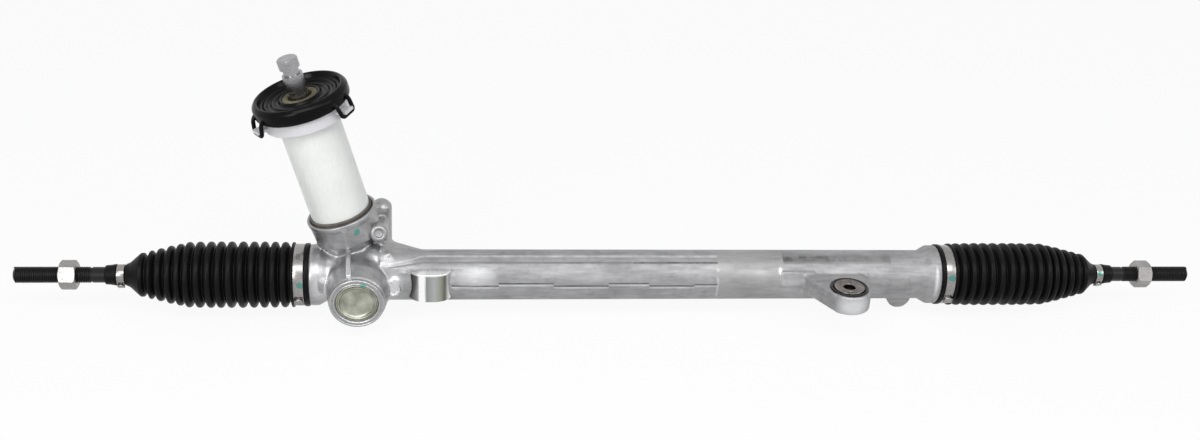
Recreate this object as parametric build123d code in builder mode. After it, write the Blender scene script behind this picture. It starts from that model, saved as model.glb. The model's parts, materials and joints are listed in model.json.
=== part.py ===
from build123d import *
from math import acos, asin, cos, pi, radians, sin, sqrt, tan
import os

# Steering rack for a passenger car with power assistance on the column.
#
# Row frame, millimetres: the origin is the bore of the right mounting sleeve, in the end that
# seats on the crossmember. +X runs along the rack to the right, +Z up along the mounting
# bolts, and -Y faces the support yoke. Sizes along the rack are counted from the middle of the bar,
# sizes along the pinion from the point where its axis passes the bar, and sizes along the
# yoke from the axis of the bar.

# ---- Driving dimensions ---------------------------------------------------------------

# Where the bar lies, from the right mounting sleeve
bar_x = -190.0
bar_y = 45.0
bar_z = 7.5

# Steering rack bar and its mesh
bar_radius = 12.0
bar_travel = 71.0
stop_gap = 0.9              # left between a ball socket and its stop at full travel
module = 2.0
pinion_teeth = 8
pressure_angle = 20.0
profile_shift = 0.5
tip_shortening = 0.4
root_clearance = 0.5
backlash = 0.12
tooth_line = 5.5            # bar axis to the line where teeth and gaps are equally wide
pinion_x = -240.0           # where the pinion crosses, from the middle of the bar
lean = 15.5                 # pinion axis, degrees from upright towards -X
tilt = 2.5                  # yoke axis, degrees below level

# Fits
running_gap = 0.05
seat_gap = 0.05
soft_gap = 0.3

# Die-cast housing
tube_radius = 22.3
tube_bore = 15.5
shoulder_at = 282.5         # faces that the boots butt against
shoulder_radius = 26.8
shoulder_length = 8.0
flare_length = 8.0
spigot_radius = 24.5
spigot_length = 15.5
stop_bore = 19.5
pinion_case_radius = 18.5
pinion_case_bottom = -36.0
pinion_cavity = 14.5
collar_bottom = 34.0
collar_top = 57.0
collar_radius = 29.5
collar_root_radius = 27.0
cover_recess_radius = 27.3
cover_recess_depth = 7.0
yoke_case_radius = 27.2
yoke_case_nose = 23.1
yoke_case_step = 44.5
yoke_case_end = 48.7
gusset_start = -222.0
gusset_end = -186.0
gusset_rise = 6.5
gusset_radius = 27.0
front_rib = 2.6

# Left mounting boss, tapped from below
nose_x = -178.5             # locating nose on the front, from the middle of the bar
nose_width = 38.0
nose_corner = 12.0
nose_depth = 24.0
nose_reach = 27.8
nose_bottom = -12.3
nose_top = 14.0
tap_radius = 4.25           # tapping size of M10 x 1.5
tap_depth = 20.0
tap_cone = 2.5
ledge_depth = 7.0
ledge_start = -215.0
ledge_front = 22.5

# Right mounting ear and its rubber bush
ear_radius = 19.8
ear_bottom = 1.0
ear_top = 18.3
ear_slope_start = 152.0
bush_radius = 16.1
sleeve_radius = 8.5
sleeve_bore = 5.3           # M10 bolt with clearance
sleeve_top = 20.0
flange_radius = 13.6
flange_thickness = 1.6

# Rear lug, tapped from below for a mounting bolt
lug_x = -222.0
lug_y = 39.0
lug_radius = 9.0
lug_height = 57.7
plug_pad_radius = 5.0
plug_pad_height = 38.0
plug_pad_front = 6.0
lug_web_width = 12.0
lug_web_bottom = 6.0
lug_web_drop = 12.0

# Rest pad under the tube near the right end
pad_x = 251.0
pad_radius = 11.0
pad_drop = 21.0
pad_front = -6.0
pad_back = 8.0

# Pinion shaft
journal_radius = 7.0
journal_from = -31.0
journal_to = -17.0
teeth_half_width = 15.0
neck_radius = 8.2
shaft_shoulder = 11.0
bearing_from = 22.0
bearing_width = 12.0
bearing_bore = 8.5
bearing_outside = 20.0
shaft_radius = 8.0
serration_from = 178.0
shaft_end = 205.0
serration_radius = 8.7
clamp_groove_from = 190.5
clamp_groove_to = 196.5
clamp_groove_depth = 2.0

# Ball bearing inside sizes
ball_radius = 3.37
ball_pitch_radius = 14.25
ball_count = 8
groove_radius = 3.5
race_gap = 0.01
inner_land = 11.5
outer_land = 17.0
cage_half_width = 4.6
cage_inside = 13.6
cage_outside = 14.9

# Lower bush, bearing nut and shaft seal
lower_bush_radius = 10.0
nut_radius = 21.0
nut_top = 42.0
nut_bore = 13.5
seal_bottom = 36.0

# Translucent cover tube and its rubber seal against the dash panel
cover_radius = 25.6
cover_wall = 2.2
cup_bottom = 149.5
cup_top = 163.0
cup_radius = 36.0
cup_wall = 2.0
ear_count = 3
hook_reach = 46.0
hook_width = 11.0
hook_thickness = 2.4
hook_at = 157.0
dash_radius = 40.5
dash_top = 175.0
dash_hole = 12.5
dash_neck_top = 171.5
loop_thickness = 2.4

# Support yoke, its spring and its plug
yoke_radius = 16.0
yoke_wing = 5.0
yoke_back = 34.0
liner_thickness = 0.45
liner_half_angle = 48.0
liner_half_width = 10.5
spring_pocket_radius = 9.5
spring_pocket_depth = 11.0
spring_radius = 7.4
spring_wire = 1.7
spring_turns = 2.5
plug_radius = 18.0
plug_from = 38.5
plug_to = 48.2
plug_dish_radius = 15.8
plug_dish_depth = 3.2
yoke_ring_at = 27.0
yoke_ring_width = 2.2
yoke_ring_depth = 1.5

# Bar bush at the right end
bar_bush_length = 22.0
bar_bush_inset = 8.5         # from the shoulder to the end of the bush
bar_bush_lip = 1.6

# Inner ball joints
ball_joint_reach = 17.6      # from the end of the bar to the middle of the ball
joint_ball_radius = 12.0
seat_thickness = 1.5
lip_gap = 0.24
mouth_gap = 0.9
socket_radius = 17.0
socket_shoulder = 15.0
socket_nose_radius = 14.6
socket_mouth = 16.0          # from the middle of the ball to the end of the socket
socket_flats = 30.0
stud_radius = 7.5
stud_length = 20.0
swing = 20.0

# Tie rods and their lock nuts
rod_length = 158.0           # from the middle of the ball
rod_neck = 6.0
rod_radius = 6.8
rod_thread_radius = 7.0
rod_thread_length = 37.7
rod_chamfer = 2.2
nut_back = 52.0              # from the end of the rod to the inner face of the nut
nut_thickness = 14.0
nut_flats = 22.0

# Boots and their clamps
boot_wall = 1.6
boot_lip_radius = 27.7
boot_radius = 28.9
boot_taper_reach = 16.0      # from the middle of the ball to the start of the taper
boot_taper_length = 36.0
boot_taper_radius = 19.5
boot_neck_length = 10.0
cuff_length = 21.0
cuff_radius = 8.9
big_clamp_inset = 4.2        # from the shoulder to the clamp
big_clamp_width = 8.4
big_clamp_thickness = 0.8
small_clamp_inset = 4.5      # from the start of the cuff to the clamp
small_clamp_width = 6.0
small_clamp_thickness = 0.8
clamp_turn = 35.0           # the crimped ear of a big clamp, degrees below the front
clamp_ear_height = 2.6
clamp_ear_length = 7.0

# ---- Worked-out sizes and places ------------------------------------------------------

front = Vector(0, -cos(radians(tilt)), -sin(radians(tilt)))
upright = Vector(0, -sin(radians(tilt)), cos(radians(tilt)))
along = Vector(1, 0, 0)
pinion_way = upright * cos(radians(lean)) - along * sin(radians(lean))

pitch = pi * module
pitch_radius = module * pinion_teeth / (2 * cos(radians(lean)))
pinion_offset = tooth_line + pitch_radius + profile_shift * module
tooth_tip = tooth_line + module
tooth_root = pinion_offset - (pitch_radius + module * (1 + profile_shift)) - root_clearance
pinion_tip_radius = pitch_radius + module * (1 + profile_shift) - tip_shortening
pinion_root_radius = pinion_offset - tooth_tip - root_clearance
bearing_to = bearing_from + bearing_width
bar_half_length = shoulder_at + bar_travel + stop_gap
bar_bush_to = shoulder_at - bar_bush_inset
bar_bush_from = bar_bush_to - bar_bush_length
ball_joint_at = bar_half_length + ball_joint_reach
socket_end = ball_joint_at + socket_mouth
rod_end = ball_joint_at + rod_length
rod_thread_from = rod_end - rod_thread_length
nut_from = rod_end - nut_back
boot_taper_from = ball_joint_at + boot_taper_reach
boot_taper_to = boot_taper_from + boot_taper_length
cuff_from = boot_taper_to + boot_neck_length
cuff_to = cuff_from + cuff_length
big_clamp_from = shoulder_at + big_clamp_inset
small_clamp_from = cuff_from + small_clamp_inset

bar_middle = Vector(bar_x, bar_y, bar_z)
bar_line = Axis(bar_middle, along)
yoke_origin = bar_middle + along * pinion_x
yoke_line = Axis(yoke_origin, front)
crossing = yoke_origin - front * pinion_offset
pinion_line = Axis(crossing, pinion_way)

# Half sections for turning: local x runs along the axis and local y is the radius
bar_section = Plane(origin=bar_middle, x_dir=along, z_dir=-front)
yoke_section = Plane(origin=yoke_origin, x_dir=front, z_dir=along)
pinion_section = Plane(origin=crossing, x_dir=pinion_way, z_dir=front)


def across(x):
    """Plane square to the bar, x from its middle: local x to the rear, local y up."""
    return Plane(origin=bar_middle + along * x, x_dir=-front, z_dir=along)


def pinion_plane(height):
    """Plane square to the pinion: local x points at the yoke."""
    return Plane(origin=crossing + pinion_way * height, x_dir=front, z_dir=pinion_way)


def yoke_plane(distance):
    """Plane square to the yoke axis: local x along the bar."""
    return Plane(origin=yoke_origin + front * distance, x_dir=along, z_dir=front)


def half_section(plane, points):
    """Closed outline of a turned piece, on one of the half-section planes."""
    with BuildSketch(plane) as outline:
        with BuildLine():
            Polyline(*points, close=True)
        make_face()
    return outline.sketch


def bored_section(plane, start, end, outer, inner):
    """Rectangle between two radii, for a plain ring."""
    return half_section(plane, [(start, inner), (end, inner), (end, outer), (start, outer)])


def finish(part, name):
    """Labels a piece and writes it."""
    part.label = name
    export_step(part, "parts/" + name + ".step")


os.makedirs("parts", exist_ok=True)

# ---- Housing --------------------------------------------------------------------------

with BuildPart() as housing:
    # Tube with a flared shoulder and a boot spigot at each end
    for side in (-1, 1):
        revolve(half_section(bar_section, [
            (0, 0), (0, tube_radius),
            (side * (shoulder_at - shoulder_length - flare_length), tube_radius),
            (side * (shoulder_at - shoulder_length), shoulder_radius),
            (side * shoulder_at, shoulder_radius),
            (side * shoulder_at, spigot_radius),
            (side * (shoulder_at + spigot_length), spigot_radius),
            (side * (shoulder_at + spigot_length), 0)]), axis=bar_line)
    # Gusset that carries the pinion tower on the tube
    with BuildSketch(across(gusset_start)):
        with Locations((0, gusset_rise)):
            Circle(gusset_radius)
    with BuildSketch(across(gusset_end)):
        Circle(tube_radius - 0.1)
    loft()
    # Pinion case, its collar and the cylinder for the yoke
    revolve(half_section(pinion_section, [
        (pinion_case_bottom, 0), (pinion_case_bottom, pinion_case_radius),
        (bearing_from - 8, pinion_case_radius), (collar_bottom, collar_root_radius),
        (collar_bottom, collar_radius - 1.2), (collar_top - 5, collar_radius),
        (collar_top, collar_radius), (collar_top, 0)]), axis=pinion_line)
    revolve(half_section(yoke_section, [
        (0, 0), (0, yoke_case_radius), (28, yoke_case_radius),
        (yoke_case_step, yoke_case_nose + 1.4), (yoke_case_step, yoke_case_nose),
        (yoke_case_end, yoke_case_nose), (yoke_case_end, 0)]), axis=yoke_line)
    # Thin rib from the collar down to the yoke cylinder
    with BuildSketch(Plane(origin=crossing, x_dir=-front, z_dir=-along)) as rib_outline:
        with BuildLine():
            Polyline((0, 8), (-collar_radius + 1.5, collar_bottom + 2),
                     (-pinion_offset - yoke_case_radius + 6, 14), (-pinion_offset, 8), close=True)
        make_face()
    extrude(amount=front_rib / 2, both=True)
    # Locating nose on the front and the ledge that ties it to the yoke cylinder
    with BuildSketch(Plane.XY.offset(bar_z + nose_bottom)):
        with Locations((bar_x + nose_x, bar_y - nose_reach + nose_depth / 2)):
            RectangleRounded(nose_width, nose_depth, nose_corner - 0.1)
    extrude(amount=nose_top - nose_bottom)
    with BuildSketch(Plane.XY.offset(bar_z + nose_top - ledge_depth)):
        with Locations((bar_x + (ledge_start + nose_x) / 2, bar_y - ledge_front / 2)):
            Rectangle(nose_x - ledge_start, ledge_front)
    extrude(amount=ledge_depth)
    # Right mounting ear
    with BuildSketch(Plane.XY.offset(ear_bottom)):
        Circle(ear_radius)
        with BuildLine():
            Polyline((bar_x + ear_slope_start, bar_y - tube_radius + 4),
                     (-ear_radius * cos(radians(38)), -ear_radius * sin(radians(38))),
                     (ear_radius, 0), (ear_radius, bar_y),
                     (bar_x + ear_slope_start, bar_y), close=True)
        make_face()
    extrude(amount=ear_top - ear_bottom)
    # Rear lug beside the tower, with the web and the blanked pad on its face
    with BuildSketch(Plane.XY):
        with Locations((bar_x + lug_x, bar_y + lug_y)):
            Circle(lug_radius)
    extrude(amount=lug_height)
    with BuildSketch(Plane.XY.offset(lug_web_bottom)):
        with Locations((bar_x + lug_x, bar_y + lug_y / 2)):
            Rectangle(lug_web_width, lug_y)
    extrude(amount=lug_height - lug_web_drop - lug_web_bottom)
    with BuildSketch(Plane(origin=(bar_x + lug_x, bar_y + lug_y, bar_z + plug_pad_height),
                           z_dir=(0, -1, 0))):
        Circle(plug_pad_radius)
    extrude(amount=lug_y + plug_pad_front)
    # Rest pad under the tube
    with BuildSketch(Plane(origin=(bar_x + pad_x, bar_y + pad_front, bar_z - pad_drop),
                           z_dir=(0, 1, 0))):
        Circle(pad_radius)
    extrude(amount=pad_back - pad_front)

    # Bore for the bar, with a stop face at each end
    revolve(half_section(bar_section, [
        (-shoulder_at - spigot_length - 1, 0), (-shoulder_at - spigot_length - 1, stop_bore),
        (-shoulder_at, stop_bore), (-shoulder_at, tube_bore), (shoulder_at, tube_bore),
        (shoulder_at, stop_bore), (shoulder_at + spigot_length + 1, stop_bore),
        (shoulder_at + spigot_length + 1, 0)]), axis=bar_line, mode=Mode.SUBTRACT)
    # Pinion cavity, bearing seats, nut bore and the recess of the cover tube
    revolve(half_section(pinion_section, [
        (journal_from - 1, 0), (journal_from - 1, lower_bush_radius + seat_gap),
        (journal_to, lower_bush_radius + seat_gap), (journal_to, pinion_cavity),
        (bearing_from, pinion_cavity), (bearing_from, bearing_outside + seat_gap),
        (bearing_to, bearing_outside + seat_gap), (bearing_to, nut_radius + seat_gap),
        (collar_top - cover_recess_depth, nut_radius + seat_gap),
        (collar_top - cover_recess_depth, cover_recess_radius),
        (collar_top + 1, cover_recess_radius), (collar_top + 1, 0)]),
        axis=pinion_line, mode=Mode.SUBTRACT)
    # Bore of the yoke and the thread bore of its plug
    revolve(half_section(yoke_section, [
        (0, 0), (0, yoke_radius + running_gap), (plug_from - 1, yoke_radius + running_gap),
        (plug_from - 1, plug_radius + seat_gap), (yoke_case_end + 1, plug_radius + seat_gap),
        (yoke_case_end + 1, 0)]), axis=yoke_line, mode=Mode.SUBTRACT)
    # Tapped hole of the lug and the bore of the ear
    with BuildSketch(Plane.XY):
        with Locations((bar_x + lug_x, bar_y + lug_y)):
            Circle(tap_radius)
    extrude(amount=tap_depth, mode=Mode.SUBTRACT)
    with BuildSketch(Plane.XY.offset(tap_depth)):
        with Locations((bar_x + lug_x, bar_y + lug_y)):
            Circle(tap_radius)
    extrude(amount=tap_cone, taper=55, mode=Mode.SUBTRACT)
    with BuildSketch(Plane.XY):
        Circle(bush_radius + seat_gap)
    extrude(amount=ear_top + 1, mode=Mode.SUBTRACT)
finish(housing.part, "rack_housing")

# ---- Bar, its bush and the pinion -----------------------------------------------------

gap_count = 2 * int((bar_travel + pinion_tip_radius + 5) / pitch) + 1


def rack_gaps():
    """Outline of the metal that the rack cutter takes away, behind the bar."""
    slope = tan(radians(pressure_angle))
    ends = (gap_count / 2 + 0.25) * pitch
    points = [(-ends - 6, bar_radius + 2), (-ends, tooth_tip)]
    for number in range(gap_count):
        middle = (number - (gap_count - 1) / 2) * pitch
        wide = pitch / 4 + (tooth_tip - tooth_line) * slope
        deep = pitch / 4 - (tooth_line - tooth_root) * slope
        points += [(middle - wide, tooth_tip), (middle - deep, tooth_root),
                   (middle + deep, tooth_root), (middle + wide, tooth_tip)]
    return points + [(ends, tooth_tip), (ends + 6, bar_radius + 2)]


with BuildPart() as bar:
    with BuildSketch(across(-bar_half_length)):
        Circle(bar_radius)
    extrude(amount=2 * bar_half_length)
    chamfer(bar.edges().filter_by(GeomType.CIRCLE), 1)
    with BuildSketch(Plane(origin=yoke_origin, x_dir=along, z_dir=upright)):
        with BuildLine():
            Polyline(*rack_gaps(), close=True)
        make_face()
    extrude(amount=bar_radius + 1, both=True, mode=Mode.SUBTRACT)
    for side in (-1, 1):
        revolve(half_section(bar_section, [
            (side * (bar_half_length + 1), 0), (side * (bar_half_length + 1), stud_radius + seat_gap),
            (side * (bar_half_length - stud_length - 1), stud_radius + seat_gap),
            (side * (bar_half_length - stud_length - 4), 0)]), axis=bar_line, mode=Mode.SUBTRACT)
finish(bar.part, "rack_bar")

with BuildPart() as bar_bush:
    revolve(bored_section(bar_section, bar_bush_from, bar_bush_to, tube_bore - seat_gap,
                          bar_radius + running_gap), axis=bar_line)
    revolve(bored_section(bar_section, bar_bush_to, bar_bush_to + bar_bush_lip, tube_bore - seat_gap,
                          bar_radius + 4 * running_gap), axis=bar_line)
finish(bar_bush.part, "rack_bush")


def involute(angle):
    """tan minus angle, the involute function."""
    return tan(angle) - angle


transverse_angle = asin(sin(radians(pressure_angle)) / sqrt(
    cos(radians(lean)) ** 2 + sin(radians(lean)) ** 2 * sin(radians(pressure_angle)) ** 2))
base_radius = pitch_radius * cos(transverse_angle)
half_tooth = (pi / 2 + 2 * profile_shift * tan(radians(pressure_angle))) / pinion_teeth
half_tooth -= backlash / 2 / pitch_radius


def flank_point(radius, middle, side):
    """Point of a tooth flank at a radius; inside the base circle the flank is radial."""
    roll = acos(base_radius / max(radius, base_radius))
    angle = middle + side * (half_tooth + involute(transverse_angle) - involute(roll))
    return (radius * cos(angle), radius * sin(angle))


with BuildPart() as pinion:
    with BuildSketch(pinion_plane(-teeth_half_width)) as teeth:
        start_turn = -teeth_half_width * tan(radians(lean)) / pitch_radius
        with BuildLine():
            steps = 5
            lift = (pinion_tip_radius - base_radius) / steps
            for number in range(pinion_teeth):
                middle = start_turn + number * 2 * pi / pinion_teeth
                radii = [base_radius + lift * step for step in range(steps + 1)]
                rising = [flank_point(radius, middle, -1) for radius in radii]
                falling = [flank_point(radius, middle, 1) for radius in reversed(radii)]
                Line(flank_point(pinion_root_radius, middle, -1), rising[0])
                Spline(*rising)
                Line(rising[-1], falling[0])
                Spline(*falling)
                Line(falling[-1], flank_point(pinion_root_radius, middle, 1))
                Line(flank_point(pinion_root_radius, middle, 1),
                     flank_point(pinion_root_radius, middle + 2 * pi / pinion_teeth, -1))
        make_face()
    lead = 2 * pi * pitch_radius / tan(radians(lean))
    spine = Line(pinion_plane(-teeth_half_width).origin, pinion_plane(teeth_half_width).origin,
                 mode=Mode.PRIVATE)
    guide = Helix(pitch=lead, height=2 * teeth_half_width, radius=pitch_radius,
                  center=pinion_plane(-teeth_half_width).origin, direction=pinion_way,
                  mode=Mode.PRIVATE)
    sweep(path=spine, binormal=guide.edges()[0])
    revolve(half_section(pinion_section, [
        (journal_from, 0), (journal_from, journal_radius - 0.8), (journal_from + 0.8, journal_radius),
        (journal_to, journal_radius), (journal_to + 0.5, pinion_root_radius),
        (teeth_half_width, pinion_root_radius), (teeth_half_width, neck_radius),
        (bearing_from - 3, neck_radius), (bearing_from - 3, shaft_shoulder),
        (bearing_from, shaft_shoulder), (bearing_from, bearing_bore), (bearing_to, bearing_bore),
        (nut_top + 2, bearing_bore), (nut_top + 4, shaft_radius), (serration_from - 2, shaft_radius),
        (serration_from, serration_radius), (shaft_end - 1, serration_radius),
        (shaft_end, serration_radius - 1), (shaft_end, 0)]), axis=pinion_line)
    revolve(bored_section(pinion_section, clamp_groove_from, clamp_groove_to,
                          serration_radius + 1, serration_radius - clamp_groove_depth),
            axis=pinion_line, mode=Mode.SUBTRACT)
finish(pinion.part, "pinion_shaft")

# ---- Bearings, nut and seal of the pinion ---------------------------------------------

bearing_middle = bearing_from + bearing_width / 2
ball_plane = pinion_plane(bearing_middle)


def race_section(back, land):
    """Half section of a bearing ring between its back and its land, with the ball groove."""
    half_width = bearing_width / 2
    half_groove = sqrt(groove_radius ** 2 - (ball_pitch_radius - land) ** 2)
    inwards = 1 if back > land else -1
    with BuildSketch(pinion_section) as outline:
        with BuildLine():
            ThreePointArc((bearing_middle - half_groove, land),
                          (bearing_middle, ball_pitch_radius + inwards * groove_radius),
                          (bearing_middle + half_groove, land))
            Polyline((bearing_middle + half_groove, land), (bearing_middle + half_width, land),
                     (bearing_middle + half_width, back), (bearing_middle - half_width, back),
                     (bearing_middle - half_width, land), (bearing_middle - half_groove, land))
        make_face()
    return outline.sketch


with BuildPart() as outer_race:
    revolve(race_section(bearing_outside, outer_land), axis=pinion_line)
finish(outer_race.part, "bearing_outer_race")

with BuildPart() as inner_race:
    revolve(race_section(bearing_bore + race_gap, inner_land), axis=pinion_line)
finish(inner_race.part, "bearing_inner_race")

with BuildPart(ball_plane) as bearing_balls:
    with PolarLocations(ball_pitch_radius, ball_count):
        Sphere(ball_radius)
finish(bearing_balls.part, "bearing_balls")

with BuildPart() as cage:
    revolve(bored_section(pinion_section, bearing_middle - cage_half_width,
                          bearing_middle + cage_half_width, cage_outside, cage_inside),
            axis=pinion_line)
    with BuildSketch(ball_plane):
        with PolarLocations(ball_pitch_radius, ball_count):
            Rectangle(ball_radius, 2 * groove_radius)
    extrude(amount=groove_radius, both=True, mode=Mode.SUBTRACT)
finish(cage.part, "bearing_cage")

with BuildPart() as lower_bush:
    revolve(bored_section(pinion_section, journal_from, journal_to, lower_bush_radius,
                          journal_radius + running_gap), axis=pinion_line)
finish(lower_bush.part, "pinion_lower_bush")

with BuildPart() as bearing_nut:
    revolve(bored_section(pinion_section, bearing_to, nut_top, nut_radius, nut_bore),
            axis=pinion_line)
    with BuildSketch(pinion_plane(nut_top)):
        with PolarLocations(nut_radius - 3, 4):
            Rectangle(4, 5)
    extrude(amount=-3, mode=Mode.SUBTRACT)
finish(bearing_nut.part, "bearing_nut")

with BuildPart() as shaft_seal:
    revolve(half_section(pinion_section, [
        (seal_bottom, nut_bore - seat_gap), (nut_top, nut_bore - seat_gap), (nut_top, nut_bore - 2),
        (nut_top - 2, bearing_bore + soft_gap), (nut_top - 3, bearing_bore + running_gap),
        (nut_top - 4, bearing_bore + soft_gap), (seal_bottom, nut_bore - 3)]), axis=pinion_line)
finish(shaft_seal.part, "pinion_shaft_seal")

# ---- Cover tube and dash seal ---------------------------------------------------------

cover_foot = collar_top - cover_recess_depth
cover_bore = cover_radius - cover_wall


def hook_places(reach):
    """The three hooks stand at equal angles, one of them straight to the rear."""
    return PolarLocations(reach, ear_count, start_angle=180)


with BuildPart() as cover:
    revolve(half_section(pinion_section, [
        (cover_foot, cover_bore), (cover_foot, cover_radius), (cup_bottom, cover_radius),
        (cup_bottom, cup_radius - 1), (cup_bottom + 1, cup_radius), (cup_top, cup_radius),
        (cup_top, cup_radius - cup_wall), (cup_bottom + cup_wall, cup_radius - cup_wall),
        (cup_bottom + cup_wall, cover_bore)]), axis=pinion_line)
    with BuildSketch(pinion_plane(hook_at)):
        with hook_places((cup_radius + hook_reach) / 2 - 0.5):
            Rectangle(hook_reach - cup_radius + 1, hook_width)
    extrude(amount=hook_thickness / 2, both=True)
finish(cover.part, "pinion_cover")

with BuildPart() as cover_ring:
    revolve(bored_section(pinion_section, cover_foot, cover_foot + 3.5,
                          cover_recess_radius - seat_gap, cover_radius + seat_gap), axis=pinion_line)
finish(cover_ring.part, "cover_seal_ring")

with BuildPart() as dash_seal:
    revolve(half_section(pinion_section, [
        (cup_top, cup_radius - cup_wall), (cup_top, dash_radius - 0.8), (cup_top + 3, dash_radius),
        (dash_top - 4, dash_radius), (dash_top, dash_radius - 4), (dash_top, cup_radius - 2),
        (dash_neck_top, cup_radius - 8), (dash_neck_top, dash_hole),
        (dash_neck_top - 2.5, dash_hole), (dash_neck_top - 2.5, cup_radius - 6)]), axis=pinion_line)
    # Loops that hook over the ears of the cover
    loop_inside = hook_width + 2 * soft_gap
    for half in (-1, 1):
        with BuildSketch(pinion_plane(cup_top)):
            with hook_places(dash_radius - 1.5):
                with Locations((0, half * (loop_inside + loop_thickness) / 2)):
                    Rectangle(3, loop_thickness)
        extrude(amount=-(cup_top - hook_at + hook_thickness / 2 + loop_thickness + soft_gap))
    with BuildSketch(pinion_plane(hook_at - hook_thickness / 2 - soft_gap)):
        with hook_places(dash_radius - 1.5):
            Rectangle(3, loop_inside + 2 * loop_thickness)
    extrude(amount=-loop_thickness)
finish(dash_seal.part, "dash_seal")

# ---- Support yoke ---------------------------------------------------------------------

saddle_radius = bar_radius + running_gap + liner_thickness

with BuildPart() as yoke:
    with BuildSketch(yoke_plane(yoke_wing)):
        Circle(yoke_radius)
    extrude(amount=yoke_back - yoke_wing)
    with BuildSketch(across(pinion_x - yoke_radius - 1)):
        Circle(saddle_radius + 0.02)
    extrude(amount=2 * yoke_radius + 2, mode=Mode.SUBTRACT)
    with BuildSketch(yoke_plane(yoke_back)):
        Circle(spring_pocket_radius)
    extrude(amount=-spring_pocket_depth, mode=Mode.SUBTRACT)
    revolve(bored_section(yoke_section, yoke_ring_at - yoke_ring_width / 2,
                          yoke_ring_at + yoke_ring_width / 2, yoke_radius + 1,
                          yoke_radius - yoke_ring_depth), axis=yoke_line, mode=Mode.SUBTRACT)
finish(yoke.part, "support_yoke")

with BuildPart() as liner:
    with BuildSketch(across(pinion_x - liner_half_width)):
        Circle(saddle_radius)
        Circle(bar_radius + running_gap, mode=Mode.SUBTRACT)
        with BuildLine():
            reach = 2 * saddle_radius
            Polyline((0, 0), (-reach * cos(radians(liner_half_angle)),
                              reach * sin(radians(liner_half_angle))),
                     (-2 * reach, 0), (-reach * cos(radians(liner_half_angle)),
                                       -reach * sin(radians(liner_half_angle))), close=True)
        make_face(mode=Mode.INTERSECT)
    extrude(amount=2 * liner_half_width)
finish(liner.part, "yoke_liner")

with BuildPart() as yoke_ring:
    revolve(bored_section(yoke_section, yoke_ring_at - yoke_ring_width / 2 + seat_gap,
                          yoke_ring_at + yoke_ring_width / 2 - seat_gap, yoke_radius,
                          yoke_radius - yoke_ring_depth + seat_gap), axis=yoke_line)
finish(yoke_ring.part, "yoke_o_ring")

spring_from = yoke_back - spring_pocket_depth + spring_wire + seat_gap
spring_to = plug_from - spring_wire - seat_gap

with BuildPart() as spring:
    with BuildLine() as coil:
        Helix(pitch=(spring_to - spring_from) / spring_turns, height=spring_to - spring_from,
              radius=spring_radius, center=yoke_origin + front * spring_from, direction=front)
    with BuildSketch(Plane(origin=coil.line @ 0, z_dir=coil.line % 0)):
        Circle(spring_wire)
    sweep(is_frenet=True)
finish(spring.part, "yoke_spring")

with BuildPart() as plug:
    revolve(half_section(yoke_section, [
        (plug_from, 0), (plug_from, plug_radius - 1), (plug_from + 1, plug_radius),
        (plug_to - 0.8, plug_radius), (plug_to, plug_radius - 0.8), (plug_to, plug_dish_radius),
        (plug_to - 1.2, plug_dish_radius - 1), (plug_to - plug_dish_depth, plug_dish_radius - 6),
        (plug_to - plug_dish_depth - 0.6, 0)]), axis=yoke_line)
finish(plug.part, "yoke_plug")

# ---- Right mounting bush --------------------------------------------------------------

with BuildPart() as mount_rubber:
    with BuildSketch(Plane.XY.offset(ear_bottom - 0.6)):
        Circle(bush_radius)
        Circle(sleeve_radius + seat_gap, mode=Mode.SUBTRACT)
    extrude(amount=sleeve_top - flange_thickness - seat_gap - ear_bottom + 0.6)
finish(mount_rubber.part, "mount_rubber_bush")

with BuildPart() as mount_sleeve:
    with BuildSketch(Plane.XY):
        Circle(sleeve_radius)
    extrude(amount=sleeve_top)
    with BuildSketch(Plane.XY.offset(sleeve_top - flange_thickness)):
        Circle(flange_radius)
    extrude(amount=flange_thickness)
    with BuildSketch(Plane.XY):
        Circle(sleeve_bore)
    extrude(amount=sleeve_top, mode=Mode.SUBTRACT)
finish(mount_sleeve.part, "mount_steel_sleeve")

# ---- Inner ball joints, tie rods, boots and clamps, one set on each side ---------------

mouth_slope = tan(radians(swing))
mouth_room = rod_neck / cos(radians(swing)) + mouth_gap
lip_reach = joint_ball_radius + lip_gap
seat_lip = (sqrt(lip_reach ** 2 * (1 + mouth_slope ** 2) - mouth_room ** 2)
            - mouth_slope * mouth_room) / (1 + mouth_slope ** 2)
seat_radius = joint_ball_radius + running_gap + seat_thickness
seat_back = ball_joint_at - joint_ball_radius - seat_thickness
cavity_radius = seat_radius + seat_gap


def mouth_radius(distance):
    """Room that the rod's neck needs at a distance from the ball, with its full swing."""
    return distance * mouth_slope + mouth_room


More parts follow.
